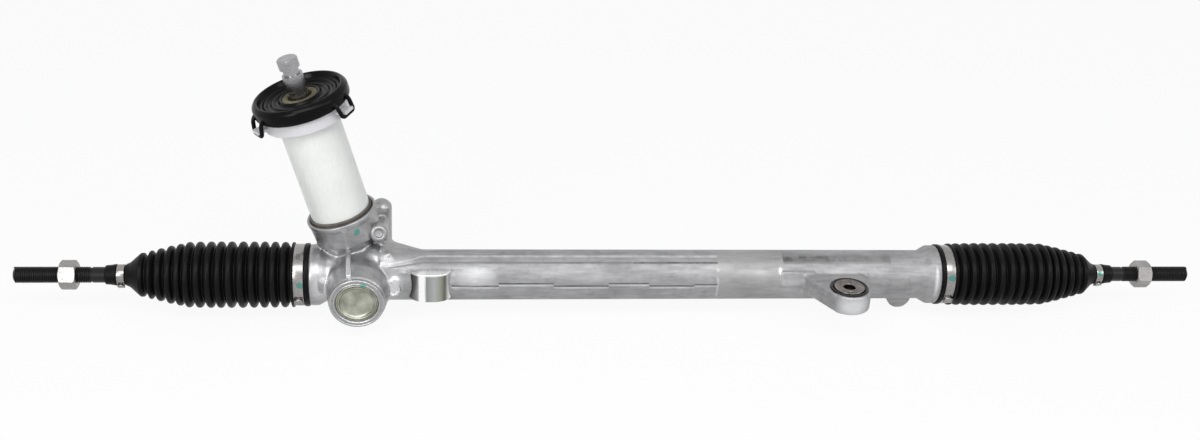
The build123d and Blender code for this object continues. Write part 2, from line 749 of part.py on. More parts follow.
for side, name in ((-1, "left"), (1, "right")):
    def mirrored(points):
        """Turns distances from the middle of the bar into places on this side."""
        return [(side * u, r) for u, r in points]

    with BuildPart() as socket:
        revolve(half_section(bar_section, mirrored([
            (bar_half_length - stud_length, 0), (bar_half_length - stud_length, stud_radius),
            (bar_half_length + seat_gap, stud_radius), (bar_half_length + seat_gap, socket_shoulder),
            (bar_half_length + 2, socket_radius), (socket_end - 6, socket_radius),
            (socket_end, socket_nose_radius), (socket_end, mouth_radius(socket_end - ball_joint_at)),
            (ball_joint_at + seat_lip + seat_gap, mouth_radius(seat_lip)),
            (ball_joint_at + seat_lip + seat_gap, cavity_radius),
            (seat_back - seat_gap, cavity_radius), (seat_back - seat_gap, 0)])), axis=bar_line)
        for way in (-1, 1):
            flat_from = min(side * (bar_half_length + 2), side * (ball_joint_at - 4))
            with BuildSketch(across(flat_from)):
                with Locations((way * (socket_flats / 2 + 3), 0)):
                    Rectangle(6, 2 * socket_radius)
            extrude(amount=ball_joint_at - 6 - bar_half_length, mode=Mode.SUBTRACT)
    finish(socket.part, name + "_ball_socket")

    with BuildPart() as seat:
        revolve(bored_section(bar_section, side * seat_back, side * (ball_joint_at + seat_lip),
                              seat_radius, 0), axis=bar_line)
        with BuildSketch(bar_section):
            with Locations((side * ball_joint_at, 0)):
                Circle(joint_ball_radius + running_gap)
            with Locations((side * ball_joint_at, -joint_ball_radius)):
                Rectangle(4 * joint_ball_radius, 2 * joint_ball_radius, mode=Mode.SUBTRACT)
        revolve(axis=bar_line, mode=Mode.SUBTRACT)
    finish(seat.part, name + "_ball_seat")

    with BuildPart() as tie_rod:
        neck_at = ball_joint_at + sqrt(joint_ball_radius ** 2 - rod_neck ** 2)
        with BuildSketch(bar_section):
            with BuildLine():
                ThreePointArc((side * (ball_joint_at - joint_ball_radius), 0),
                              (side * ball_joint_at, joint_ball_radius), (side * neck_at, rod_neck))
                Polyline((side * neck_at, rod_neck), *mirrored([
                    (socket_end + 12, rod_neck), (socket_end + 20, rod_radius),
                    (rod_thread_from, rod_radius), (rod_thread_from, rod_thread_radius),
                    (rod_end - rod_chamfer, rod_thread_radius),
                    (rod_end, rod_thread_radius - rod_chamfer), (rod_end, 0),
                    (ball_joint_at - joint_ball_radius, 0)]))
            make_face()
        revolve(axis=bar_line)
    finish(tie_rod.part, name + "_tie_rod")

    with BuildPart() as lock_nut:
        nut_corner = nut_flats / sqrt(3)
        with BuildSketch(across(side * (nut_from + nut_thickness / 2))):
            RegularPolygon(nut_corner, 6)
        extrude(amount=nut_thickness / 2, both=True)
        revolve(half_section(bar_section, mirrored([
            (nut_from, 0), (nut_from, nut_flats / 2 - 0.3), (nut_from + 1.2, nut_corner),
            (nut_from + nut_thickness - 1.2, nut_corner),
            (nut_from + nut_thickness, nut_flats / 2 - 0.3), (nut_from + nut_thickness, 0)])),
            axis=bar_line, mode=Mode.INTERSECT)
        revolve(half_section(bar_section, mirrored([
            (nut_from - 1, 0), (nut_from - 1, rod_radius + seat_gap),
            (nut_from + nut_thickness + 1, rod_radius + seat_gap),
            (nut_from + nut_thickness + 1, 0)])), axis=bar_line, mode=Mode.SUBTRACT)
    finish(lock_nut.part, name + "_lock_nut")

    with BuildPart() as boot:
        lip_from = shoulder_at + seat_gap
        clamp_to = big_clamp_from + big_clamp_width
        band_radius = spigot_radius + seat_gap + boot_wall
        small_to = small_clamp_from + small_clamp_width
        rod_hole = rod_radius + soft_gap
        outside = [
            (lip_from, boot_lip_radius), (big_clamp_from, boot_lip_radius),
            (big_clamp_from, band_radius), (clamp_to, band_radius), (clamp_to, boot_radius),
            (boot_taper_from, boot_radius), (boot_taper_to, boot_taper_radius),
            (cuff_from, cuff_radius + 1.9), (small_clamp_from, cuff_radius + 1.5),
            (small_clamp_from, cuff_radius), (small_to, cuff_radius), (small_to, cuff_radius + 0.8),
            (cuff_to, rod_hole + 1)]
        inside = [
            (cuff_to, rod_hole), (cuff_from, rod_hole),
            (boot_taper_to, boot_taper_radius - 2 * boot_wall),
            (boot_taper_from, boot_radius - 2 * boot_wall),
            (shoulder_at + spigot_length + 2, boot_radius - 2 * boot_wall),
            (shoulder_at + spigot_length + 2, spigot_radius + seat_gap),
            (lip_from, spigot_radius + seat_gap)]
        revolve(half_section(bar_section, mirrored(outside + inside)), axis=bar_line)
    finish(boot.part, name + "_boot")

    with BuildPart() as big_clamp:
        clamp_inside = band_radius + seat_gap
        revolve(bored_section(bar_section, side * big_clamp_from, side * clamp_to,
                              clamp_inside + big_clamp_thickness, clamp_inside), axis=bar_line)
        with BuildSketch(across(side * (big_clamp_from + clamp_to) / 2)):
            with PolarLocations(clamp_inside + big_clamp_thickness, 1, start_angle=180 + clamp_turn):
                Rectangle(2 * clamp_ear_height, clamp_ear_length)
            Circle(clamp_inside, mode=Mode.SUBTRACT)
        extrude(amount=big_clamp_width / 2 - 0.7, both=True)
    finish(big_clamp.part, name + "_big_clamp")

    with BuildPart() as small_clamp:
        ring_inside = cuff_radius + soft_gap
        revolve(bored_section(bar_section, side * small_clamp_from, side * small_to,
                              ring_inside + small_clamp_thickness, ring_inside), axis=bar_line)
    finish(small_clamp.part, name + "_small_clamp")
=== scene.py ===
# %% [markdown]
# Steering rack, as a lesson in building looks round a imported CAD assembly. The CAD model
# gives the frame: every size, place and joint. Here each visible piece gets its real surface.
# We load the frame first and keep its box, because looks may not grow out of it.

# %% Load the frame
import json
from math import cos, degrees, pi, radians, sin, tau
import bpy
from mathutils import Matrix, Vector
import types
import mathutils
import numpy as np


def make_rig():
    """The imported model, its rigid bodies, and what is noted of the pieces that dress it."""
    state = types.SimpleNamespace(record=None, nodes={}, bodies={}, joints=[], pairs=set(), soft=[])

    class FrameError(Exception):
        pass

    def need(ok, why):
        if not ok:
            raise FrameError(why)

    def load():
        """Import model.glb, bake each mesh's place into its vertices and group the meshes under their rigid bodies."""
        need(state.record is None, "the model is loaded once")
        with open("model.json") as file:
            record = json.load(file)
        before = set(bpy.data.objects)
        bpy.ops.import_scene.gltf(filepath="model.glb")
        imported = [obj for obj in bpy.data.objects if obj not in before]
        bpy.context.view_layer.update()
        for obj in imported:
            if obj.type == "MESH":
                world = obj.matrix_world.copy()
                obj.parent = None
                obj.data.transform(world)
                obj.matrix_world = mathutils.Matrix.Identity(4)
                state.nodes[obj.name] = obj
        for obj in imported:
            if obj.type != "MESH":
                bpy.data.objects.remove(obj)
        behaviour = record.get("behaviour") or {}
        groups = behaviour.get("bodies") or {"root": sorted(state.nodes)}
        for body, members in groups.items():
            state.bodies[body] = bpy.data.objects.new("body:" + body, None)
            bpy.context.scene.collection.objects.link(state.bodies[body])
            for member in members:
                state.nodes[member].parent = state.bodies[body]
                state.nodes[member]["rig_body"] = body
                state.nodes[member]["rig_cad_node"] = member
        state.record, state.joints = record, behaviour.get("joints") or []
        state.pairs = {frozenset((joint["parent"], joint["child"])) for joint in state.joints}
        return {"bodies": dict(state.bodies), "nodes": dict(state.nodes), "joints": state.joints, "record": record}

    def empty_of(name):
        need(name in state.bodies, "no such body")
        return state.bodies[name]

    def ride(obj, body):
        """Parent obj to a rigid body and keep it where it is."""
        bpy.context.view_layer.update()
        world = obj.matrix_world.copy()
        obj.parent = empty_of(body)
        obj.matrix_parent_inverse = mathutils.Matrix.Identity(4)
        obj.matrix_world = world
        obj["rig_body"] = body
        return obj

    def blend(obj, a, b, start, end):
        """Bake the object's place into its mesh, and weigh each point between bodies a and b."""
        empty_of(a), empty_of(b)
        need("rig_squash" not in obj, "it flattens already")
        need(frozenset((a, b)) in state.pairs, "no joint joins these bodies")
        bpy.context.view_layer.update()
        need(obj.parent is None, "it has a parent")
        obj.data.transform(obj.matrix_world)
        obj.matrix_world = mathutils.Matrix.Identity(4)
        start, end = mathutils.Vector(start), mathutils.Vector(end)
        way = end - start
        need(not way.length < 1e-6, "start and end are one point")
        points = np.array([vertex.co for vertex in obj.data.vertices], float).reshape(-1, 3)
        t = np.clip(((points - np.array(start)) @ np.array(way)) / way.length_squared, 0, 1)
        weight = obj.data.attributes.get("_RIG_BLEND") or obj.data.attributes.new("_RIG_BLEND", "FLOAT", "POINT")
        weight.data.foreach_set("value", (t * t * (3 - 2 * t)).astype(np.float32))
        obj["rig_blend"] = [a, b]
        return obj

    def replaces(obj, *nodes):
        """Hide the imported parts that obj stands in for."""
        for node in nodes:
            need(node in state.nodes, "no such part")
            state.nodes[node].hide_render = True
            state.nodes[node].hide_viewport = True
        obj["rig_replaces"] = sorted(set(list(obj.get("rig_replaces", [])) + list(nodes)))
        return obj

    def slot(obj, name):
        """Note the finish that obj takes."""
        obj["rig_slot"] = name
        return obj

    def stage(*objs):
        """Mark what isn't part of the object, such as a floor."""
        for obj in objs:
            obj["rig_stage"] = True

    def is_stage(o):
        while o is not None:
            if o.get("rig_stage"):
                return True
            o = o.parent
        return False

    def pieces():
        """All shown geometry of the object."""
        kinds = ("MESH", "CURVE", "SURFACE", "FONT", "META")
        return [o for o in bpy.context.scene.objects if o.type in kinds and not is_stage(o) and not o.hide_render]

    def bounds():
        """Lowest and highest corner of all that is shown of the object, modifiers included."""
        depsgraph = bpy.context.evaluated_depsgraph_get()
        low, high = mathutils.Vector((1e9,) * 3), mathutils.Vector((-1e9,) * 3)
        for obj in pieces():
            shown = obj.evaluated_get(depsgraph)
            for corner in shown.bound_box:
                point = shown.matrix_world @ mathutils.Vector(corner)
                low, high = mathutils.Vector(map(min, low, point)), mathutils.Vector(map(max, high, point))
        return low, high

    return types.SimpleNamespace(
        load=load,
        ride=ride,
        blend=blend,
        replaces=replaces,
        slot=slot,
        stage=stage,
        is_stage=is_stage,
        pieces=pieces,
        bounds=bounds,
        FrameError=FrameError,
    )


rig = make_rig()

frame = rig.load()
cad_box = [list(corner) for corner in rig.bounds()]
bpy.ops.object.select_all(action="DESELECT")
print("CAD box", cad_box, "nodes", len(frame["nodes"]))

# %% [markdown]
# Three axes carry nearly everything: the bar, the support yoke in front of it and the
# leaning pinion behind it. A place on one of them is a distance along it and a radius, so a
# small class that turns such pairs into points saves a lot of arithmetic later.

# %% Three axes
MM = 0.001
LEAN, TILT = radians(15.5), radians(2.5)
ALONG = Vector((1, 0, 0))
FRONT = Vector((0, -cos(TILT), -sin(TILT)))
UPRIGHT = Vector((0, -sin(TILT), cos(TILT)))
PINION_WAY = UPRIGHT * cos(LEAN) - ALONG * sin(LEAN)
BAR_MIDDLE = Vector((-190.0, 45.0, 7.5))
YOKE_START = BAR_MIDDLE + ALONG * -240
PITCH_LINE, MODULE, TEETH = 6.5, 2, 8
CROSSING = YOKE_START - FRONT * (PITCH_LINE + MODULE * TEETH / (2 * cos(LEAN)))


class Line:
    """An axis in the row frame. start is in millimetres; out is the side that turning starts from."""

    def __init__(self, start, way, out):
        self.start, self.way, self.out = start, way.normalized(), out.normalized()
        self.third = self.way.cross(self.out)

    def at(self, along, radius=0.0, turn=0.0):
        """Point in metres: distance along, distance out, and degrees round the axis."""
        side = self.out * cos(radians(turn)) + self.third * sin(radians(turn))
        return (self.start + self.way * along + side * radius) * MM


bar = Line(BAR_MIDDLE, ALONG, Vector((0, 0, 1)))
left_bar = Line(BAR_MIDDLE, -ALONG, Vector((0, 0, 1)))
yoke = Line(YOKE_START, FRONT, ALONG)
pinion = Line(CROSSING, PINION_WAY, FRONT)
upright_pin = Line(Vector((0, 0, 0)), Vector((0, 0, 1)), Vector((0, -1, 0)))


def off_bar(x, y, z):
    """Place in millimetres, given off the middle of the bar."""
    return BAR_MIDDLE + Vector((x, y, z))


def on_bar(x, y, z):
    """The same place in metres."""
    return tuple(off_bar(x, y, z) * MM)


print("pinion crosses at", [round(c, 2) for c in CROSSING])

# %% [markdown]
# The camera stands in front, a little to the left and well above. Its basis is built from
# the viewing direction, then turned a fraction of a degree for the roll. The focal length,
# the middle of the view and the place of the bar's middle in it are in pixels.

# %% Camera
WIDTH, HEIGHT = 1200, 440
FOCAL, MID_X, MID_Y = 1436.23, 635.7, 227.05
BAR_X, BAR_Y = 630.61, 274.3
PAN, DROP, ROLL = radians(7.45), radians(26.71), radians(0.2)
DISTANCE = 1293.81
level = Vector((0, cos(DROP), -sin(DROP)))
look = ALONG * sin(PAN) + level * cos(PAN)
right = ALONG * cos(PAN) - level * sin(PAN)
above = Vector((0, sin(DROP), cos(DROP)))
right, above = right * cos(ROLL) + above * sin(ROLL), above * cos(ROLL) - right * sin(ROLL)
eye = BAR_MIDDLE - (look + right * ((BAR_X - MID_X) / FOCAL) - above * ((BAR_Y - MID_Y) / FOCAL)) * DISTANCE
bpy.ops.object.camera_add(location=eye * MM)
camera = bpy.context.object
camera.rotation_mode = "QUATERNION"
camera.rotation_quaternion = Matrix((right, above, -look)).transposed().to_quaternion()
camera.data.lens = FOCAL / WIDTH * camera.data.sensor_width
camera.data.shift_x = (WIDTH / 2 - MID_X) / WIDTH
camera.data.shift_y = (MID_Y - HEIGHT / 2) / WIDTH
camera.data.clip_start, camera.data.clip_end = 0.05, 30
bpy.context.scene.camera = camera
bpy.context.scene.view_settings.view_transform = "Standard"
print("camera at", [round(c) for c in eye], "lens", round(camera.data.lens, 1))

# %% [markdown]
# The sky, the floor and every finish are webs of shader nodes. Each of these functions adds
# one node, or a chain of one kind, and gives back the output that the next node takes.

# %% Node helpers


def feed(tree, socket, value):
    """Gives an input socket a link or a plain value."""
    if isinstance(value, bpy.types.NodeSocket):
        tree.links.new(value, socket)
    else:
        socket.default_value = value


def connect(tree, kind, sockets=None, **settings):
    """Adds a shader node, sets its options, and fills its sockets. Returns the node."""
    made = tree.nodes.new(kind)
    for key, value in settings.items():
        setattr(made, key, value)
    for socket, value in (sockets or {}).items():
        feed(tree, made.inputs[socket], value)
    return made


def math(tree, operation, *values):
    """One Math node."""
    return connect(tree, "ShaderNodeMath", dict(enumerate(values)), operation=operation).outputs[0]


def times(tree, first, *others):
    """Product of two or more values."""
    for other in others:
        first = math(tree, "MULTIPLY", first, other)
    return first


def most(tree, first, *others):
    """Largest of two or more values."""
    for other in others:
        first = math(tree, "MAXIMUM", first, other)
    return first


def vector(tree, operation, *values):
    """One Vector Math node: its number where it measures something, else its vector."""
    made = connect(tree, "ShaderNodeVectorMath", dict(enumerate(values)), operation=operation)
    return made.outputs["Value" if operation in ("LENGTH", "DISTANCE", "DOT_PRODUCT") else "Vector"]


def remap(tree, value, low, high, to_low=0.0, to_high=1.0):
    """Clamped Map Range."""
    return connect(tree, "ShaderNodeMapRange",
                   {0: value, 1: low, 2: high, 3: to_low, 4: to_high}).outputs[0]


def rough_noise(tree, place, scale, detail, rough=0.5):
    """Noise texture."""
    return connect(tree, "ShaderNodeTexNoise", {
        "Vector": place, "Scale": scale, "Detail": detail, "Roughness": rough}).outputs[0]


print("node helpers ready")

# %% [markdown]
# Cast metal shows its form by what it mirrors, so a few big soft panels matter more than
# strength: a long one above and in front, which draws a bright band along the tube, one from
# the front left and a weak one from the right. The floor and the sky are near white where the
# camera sees them, directly or in a reflection, and dimmer for the light that they give.

# %% Light, floor and sky


def seen_directly(tree):
    """1 for rays that come from the camera or by way of metal or glass, 0 for those that carry light."""
    rays = connect(tree, "ShaderNodeLightPath").outputs
    return most(tree, rays["Is Camera Ray"], rays["Is Glossy Ray"], rays["Is Transmission Ray"])


for name, place, aim, size, power in (
        ("front_top", (-0.25, -0.85, 1.15), (-0.22, 0.04, 0), (1.8, 0.42), 13),
        ("front_left", (-1.2, -1.2, 0.7), (-0.35, 0.04, 0), (0.5, 0.6), 8),
        ("right_side", (1.1, -0.7, 0.8), (-0.1, 0.04, 0), (0.5, 0.5), 4)):
    bpy.ops.object.light_add(type="AREA", location=place)
    lamp = bpy.context.object
    lamp.name = name
    lamp.rotation_euler = (Vector(aim) - Vector(place)).to_track_quat("-Z", "Y").to_euler()
    lamp.data.shape, lamp.data.energy = "RECTANGLE", power
    lamp.data.size, lamp.data.size_y = size

world = bpy.data.worlds.new("studio")
bpy.context.scene.world = world
world.use_nodes = True
sky = world.node_tree
sky.nodes.clear()
dim = connect(sky, "ShaderNodeBackground", {"Color": (0.92, 0.95, 1, 1), "Strength": 0.3})
white = connect(sky, "ShaderNodeBackground", {"Color": (1, 1, 1, 1), "Strength": 1.0})
both = connect(sky, "ShaderNodeMixShader", {0: seen_directly(sky), 1: dim.outputs[0], 2: white.outputs[0]})
connect(sky, "ShaderNodeOutputWorld", {0: both.outputs[0]})

bpy.ops.mesh.primitive_plane_add(size=8, location=(BAR_MIDDLE.x * MM, 0.5, cad_box[0][2] - 0.0005))
floor = bpy.context.object
floor.name = "floor"
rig.stage(floor)
paper = bpy.data.materials.new("floor_paper")
paper.use_nodes = True
tree = paper.node_tree
matt = tree.nodes["Principled BSDF"]
grain = connect(tree, "ShaderNodeTexNoise", {"Scale": 300.0, "Detail": 3.0})
tone = connect(tree, "ShaderNodeMapRange", {0: grain.outputs[0], 3: 0.9, 4: 0.94})
feed(tree, matt.inputs["Base Color"], tone.outputs[0])
feed(tree, matt.inputs["Roughness"], 0.9)
glow = connect(tree, "ShaderNodeEmission", {"Color": (1, 1, 1, 1), "Strength": 1.0})
share = times(tree, seen_directly(tree), 0.92)
mixed = connect(tree, "ShaderNodeMixShader", {0: share, 1: matt.outputs[0], 2: glow.outputs[0]})
feed(tree, tree.nodes["Material Output"].inputs[0], mixed.outputs[0])
floor.data.materials.append(paper)
print("lamps 3, floor at", round(floor.location.z, 4))

# %% [markdown]
# Surface effects that several finishes share are node groups, built once. Each one takes
# object coordinates and gives back a value between 0 and 1 or a height, and the finish
# decides what to do with it. Object coordinates are metres here, so a noise scale of 1000
# means features of about a millimetre.

# %% Shared shader groups


def new_group(name, inputs, outputs):
    """Empty node group with named sockets. Returns the tree, what it takes and what it gives."""
    tree = bpy.data.node_groups.new(name, "ShaderNodeTree")
    kinds = {"V": "NodeSocketVector", "F": "NodeSocketFloat"}
    for label, kind in inputs:
        tree.interface.new_socket(label, in_out="INPUT", socket_type=kinds[kind])
    for label, kind in outputs:
        tree.interface.new_socket(label, in_out="OUTPUT", socket_type=kinds[kind])
    return tree, tree.nodes.new("NodeGroupInput").outputs, tree.nodes.new("NodeGroupOutput").inputs


# Speckle: fine grain, broad cloud and rare pits
speckle, taken, given = new_group(
    "speckle", [("Place", "V"), ("Grain Scale", "F"), ("Cloud Scale", "F")],
    [("Grain", "F"), ("Cloud", "F"), ("Pits", "F")])
broad = rough_noise(speckle, taken["Place"], taken["Cloud Scale"], 5.0, 0.55)
cells = connect(speckle, "ShaderNodeTexVoronoi", {
    "Vector": taken["Place"], "Scale": times(speckle, taken["Grain Scale"], 0.3)})
feed(speckle, given["Grain"], rough_noise(speckle, taken["Place"], taken["Grain Scale"], 3.0, 0.6))
feed(speckle, given["Cloud"], remap(speckle, broad, 0.3, 0.7))
feed(speckle, given["Pits"], remap(speckle, cells.outputs["Distance"], 0.16, 0.05))

# Streaks: noise drawn out along X
streaks, taken, given = new_group(
    "streaks", [("Place", "V"), ("Scale", "F"), ("Stretch", "F")], [("Streak", "F")])
shrunk = math(streaks, "DIVIDE", 1.0, taken["Stretch"])
squeeze = connect(streaks, "ShaderNodeCombineXYZ", {0: shrunk, 1: 1.0, 2: 1.0}).outputs[0]
drawn_out = vector(streaks, "MULTIPLY", taken["Place"], squeeze)
lines = rough_noise(streaks, drawn_out, taken["Scale"], 4.0, 0.6)
feed(streaks, given["Streak"], remap(streaks, lines, 0.3, 0.7))

# Rings: fine circles round an axis, as a lathe tool leaves them
rings, taken, given = new_group(
    "turning_rings", [("Place", "V"), ("Start", "V"), ("Way", "V"), ("Pitch", "F")], [("Ring", "F")])
arm = vector(rings, "SUBTRACT", taken["Place"], taken["Start"])
reach = vector(rings, "LENGTH", vector(rings, "CROSS_PRODUCT", arm, taken["Way"]))
wave = math(rings, "SINE", times(rings, math(rings, "DIVIDE", reach, taken["Pitch"]), tau))
feed(rings, given["Ring"], math(rings, "MULTIPLY_ADD", wave, 0.5, 0.5))

# Dab: a ragged round mark of inspection paint
dab, taken, given = new_group(
    "paint_dab", [("Place", "V"), ("Middle", "V"), ("Radius", "F")], [("Mask", "F")])
ragged = math(dab, "SUBTRACT", rough_noise(dab, taken["Place"], 260.0, 3.0), 0.5)
near = math(dab, "DIVIDE", vector(dab, "DISTANCE", taken["Place"], taken["Middle"]), taken["Radius"])
feed(dab, given["Mask"], remap(dab, math(dab, "MULTIPLY_ADD", ragged, 1.6, near), 1.0, 0.75))

# Dust: pale bloom that gathers on faces turned upwards
dust, taken, given = new_group("dust", [("Place", "V"), ("Amount", "F")], [("Mask", "F")])
normal = connect(dust, "ShaderNodeNewGeometry").outputs["Normal"]
top = remap(dust, connect(dust, "ShaderNodeSeparateXYZ", {0: normal}).outputs["Z"], 0.1, 0.9)
cloud = remap(dust, rough_noise(dust, taken["Place"], 90.0, 6.0, 0.7), 0.35, 0.65)
feed(dust, given["Mask"], times(dust, top, cloud, taken["Amount"]))
print("groups", [g.name for g in bpy.data.node_groups])

# %% [markdown]
# A finish is a Principled shader fed by those groups. The helper starts one, keeps the
# plain numbers on the shader's own sockets, and gives back what later lines link up.

# %% Finish helper
finishes = {}


def new_finish(name, metallic, roughness, **plain):
    """Enters a material in finishes. Returns its tree, its shader and object coordinates."""
    made = finishes[name] = bpy.data.materials.new(name + "_finish")
    made.use_nodes = True
    tree = made.node_tree
    shader = tree.nodes["Principled BSDF"]
    for socket, value in {"Metallic": metallic, "Roughness": roughness, **plain}.items():
        shader.inputs[socket.replace("_", " ")].default_value = value
    return tree, shader, connect(tree, "ShaderNodeTexCoord").outputs["Object"]


def grouped(tree, group, **sockets):
    """One of the shared groups, placed and filled. Socket names use _ for a space."""
    placed = connect(tree, "ShaderNodeGroup", node_tree=group)
    for socket, value in sockets.items():
        feed(tree, placed.inputs[socket.replace("_", " ")], value)
    return placed.outputs


def mix(tree, share, one, other):
    """Mix of two colours, each a socket or a tuple."""
    made = connect(tree, "ShaderNodeMix", data_type="RGBA")
    for socket, value in ((0, share), (6, one), (7, other)):
        feed(tree, made.inputs[socket], (*value, 1) if isinstance(value, tuple) else value)
    return made.outputs[2]


def halves(tree, one, other, part=0.5):
    """Blend of two values, with the given part of the first and the rest of the other."""
    return math(tree, "MULTIPLY_ADD", one, part, times(tree, other, 1 - part))


def coat(tree, shader, colour, rough, *layers):
    """Links colour and roughness, and bump layers in a chain, each (height, distance in mm)."""
    feed(tree, shader.inputs["Base Color"], colour)
    feed(tree, shader.inputs["Roughness"], rough)
    into = shader.inputs["Normal"]
    for height, depth in reversed(layers):
        made = connect(tree, "ShaderNodeBump", {"Height": height, "Distance": depth * MM, "Strength": 1.0})
        feed(tree, into, made.outputs[0])
        into = made.inputs["Normal"]


print("finish helper ready")

# %% [markdown]
# Several finishes change from place to place: painted lines of shade and highlight on the casting, a patch of painted
# highlight, a dab of paint. Each mask is worked out from object coordinates, with its limits in millimetres off the
# middle of the bar.

# %% Masks by place
PAINT = (0.06, 0.28, 0.23)


def bar_x(x):
    """Object X of a place x mm along the bar from its middle."""
    return (BAR_MIDDLE.x + x) * MM


def between(tree, parts, low, high):
    """1 between two limits along X."""
    return times(tree, math(tree, "GREATER_THAN", parts["X"], bar_x(low)),
                 math(tree, "LESS_THAN", parts["X"], bar_x(high)))


def height_over(tree, parts, z):
    """Height in metres over a level that is z mm above the middle of the bar."""
    return math(tree, "SUBTRACT", parts["Z"], (BAR_MIDDLE.z + z) * MM)


def step_line(tree, height, width):
    """A thin mask where a height is near zero, and a step that is 1 above it."""
    thin = remap(tree, math(tree, "ABSOLUTE", height), width * 0.4 * MM, width * MM, 1.0, 0.0)
    return thin, remap(tree, height, -0.5 * MM, 0.7 * MM)


def painted_highlight(tree, place, middle, size):
    """1 in the middle of a patch of painted highlight, 0 outside it; size is its half lengths."""
    off = vector(tree, "SUBTRACT", place, on_bar(*middle))
    reach = vector(tree, "LENGTH", vector(tree, "MULTIPLY", off, tuple(1 / (c * MM) for c in size)))
    return remap(tree, reach, 1.0, 0.3)


def paint(tree, place, tone, dabs):
    """Lays dabs of paint, given as (middle in metres, radius in mm), over a tone."""
    for middle, radius in dabs:
        mask = grouped(tree, dab, Place=place, Middle=tuple(middle), Radius=radius * MM)["Mask"]
        tone = mix(tree, times(tree, mask, 0.8), tone, PAINT)
    return tone


print("masks ready")

# %% [markdown]
# The line left by the two halves of the die runs along the front of the tube and jogs up and down. A second, straight
# one runs higher up, with a crest over it and a wider dark band at the right. They are a few tenths high, so they are
# drawn as tone and bump rather than as mesh: their dark grooves and band are painted shade, and the light lip and
# crest are painted highlights. A plain stretch of the tube has neither, and starts with one bright edge, also a
# painted highlight.

# %% Die lines
PARTING = ((-119, 2.4), (-71, -2.4), (-22, 2.4), (14, -2.4), (55, 1.2))
TUBE, PLAIN, FRONT_FROM = (-214, 236), (76.0, 136.0), -160


def front_line(tree, parts, where):
    """Groove of painted shade, lip of painted highlight and step of the jogged line. PARTING has each jog's place and
    height.
    """
    seam = height_over(tree, parts, 0.3)
    for x, jump in PARTING:
        past = math(tree, "GREATER_THAN", parts["X"], bar_x(x))
        seam = math(tree, "SUBTRACT", seam, times(tree, past, jump * MM))
    groove, step = step_line(tree, seam, 1.0)
    # The lip below the groove is a painted highlight.
    lip = step_line(tree, math(tree, "ADD", seam, 1.7 * MM), 1.2)[0]
    return [times(tree, mask, where) for mask in (groove, lip, step)]


def upper_line(tree, parts, where):
    """Groove with the right band, both painted shade, crest of painted highlight, and step of the upper line."""
    groove, step = step_line(tree, height_over(tree, parts, 18.4), 0.8)
    left = between(tree, parts, TUBE[0], PLAIN[0])
    strength = most(tree, between(tree, parts, 0, PLAIN[0]),
                    times(tree, between(tree, parts, -80, -34), 0.6), times(tree, left, 0.3))
    # The crest over the upper line is a painted highlight.
    crest = times(tree, step_line(tree, height_over(tree, parts, 21.4), 0.5)[0], left)
    # The band at the right is painted shade.
    band = times(tree, step_line(tree, height_over(tree, parts, 20.4), 2.0)[0],
                 remap(tree, parts["X"], bar_x(150), bar_x(232), 1.0, 0.6),
                 between(tree, parts, PLAIN[1], TUBE[1]))
    dark = most(tree, times(tree, groove, strength), band)
    return [times(tree, mask, where) for mask in (dark, crest, step)]


def die_lines(tree, parts, blotch):
    """Painted shade lines, painted highlight lines and steps of the casting, and its plain stretch."""
    plain = between(tree, parts, *PLAIN)
    along = math(tree, "SUBTRACT", between(tree, parts, *TUBE), plain)
    in_front = math(tree, "LESS_THAN", parts["Y"], (BAR_MIDDLE.y - 14) * MM)
    where = times(tree, in_front, along, between(tree, parts, FRONT_FROM, PLAIN[0]))
    groove, lip, step = front_line(tree, parts, where)
    above_it = times(tree, math(tree, "LESS_THAN", parts["Y"], BAR_MIDDLE.y * MM), along)
    dark, crest, upper_step = upper_line(tree, parts, above_it)
    # The bright first edge of the plain stretch is a painted highlight.
    edge = times(tree, between(tree, parts, PLAIN[0] - 1.2, PLAIN[0] + 1.0), in_front,
                 remap(tree, blotch, 0.4, 0.6))
    return (most(tree, groove, dark), most(tree, lip, crest, edge),
            math(tree, "SUBTRACT", step, upper_step), plain)


print("jogs in the parting line", len(PARTING))

# %% [markdown]
# Die-cast aluminium is grey rather than mirror bright: the skin is shot-blasted, so it has a fine grain, faint clouds
# where the metal cooled at different speeds, and small pits. Bright patches on it are painted highlights, also made
# smoother, and dabs of paint mark joints that were inspected.

# %% Cast aluminium
DARK_CAST, LIGHT_CAST = (0.235, 0.235, 0.24), (0.42, 0.42, 0.425)
# The first tone here is a painted highlight, for the bright patches and light lines; the second is a near-black
# painted shade for the dark lines.
HIGHLIGHT_TONE, SHADE_LINE_TONE, PLAIN_SKIN = (0.72, 0.72, 0.74), (0.05, 0.05, 0.05), (0.36, 0.355, 0.34)
# Patches painted bright, each a middle and half lengths in mm: painted highlights, and a fainter one below.
HIGHLIGHT_PATCHES = (((190, -64, 2), (20, 9, 13)), ((-210, -26, 4), (10, 10, 14)), ((-272, -22, 4), (10, 14, 19)),
        ((-262, -15, 21), (14, 10, 4)), ((277.5, -24, 5), (2.6, 12, 17)), ((133, -18, 13), (2.5, 8, 4)))
FAINT_HIGHLIGHT_PATCH = ((-138, -21, 6), (20, 14, 12))
TOWER_DAB, YOKE_DAB = (pinion.at(47.5, 30.3, 25), 3.6), (yoke.at(48.8, 18.6, 72), 2.8)

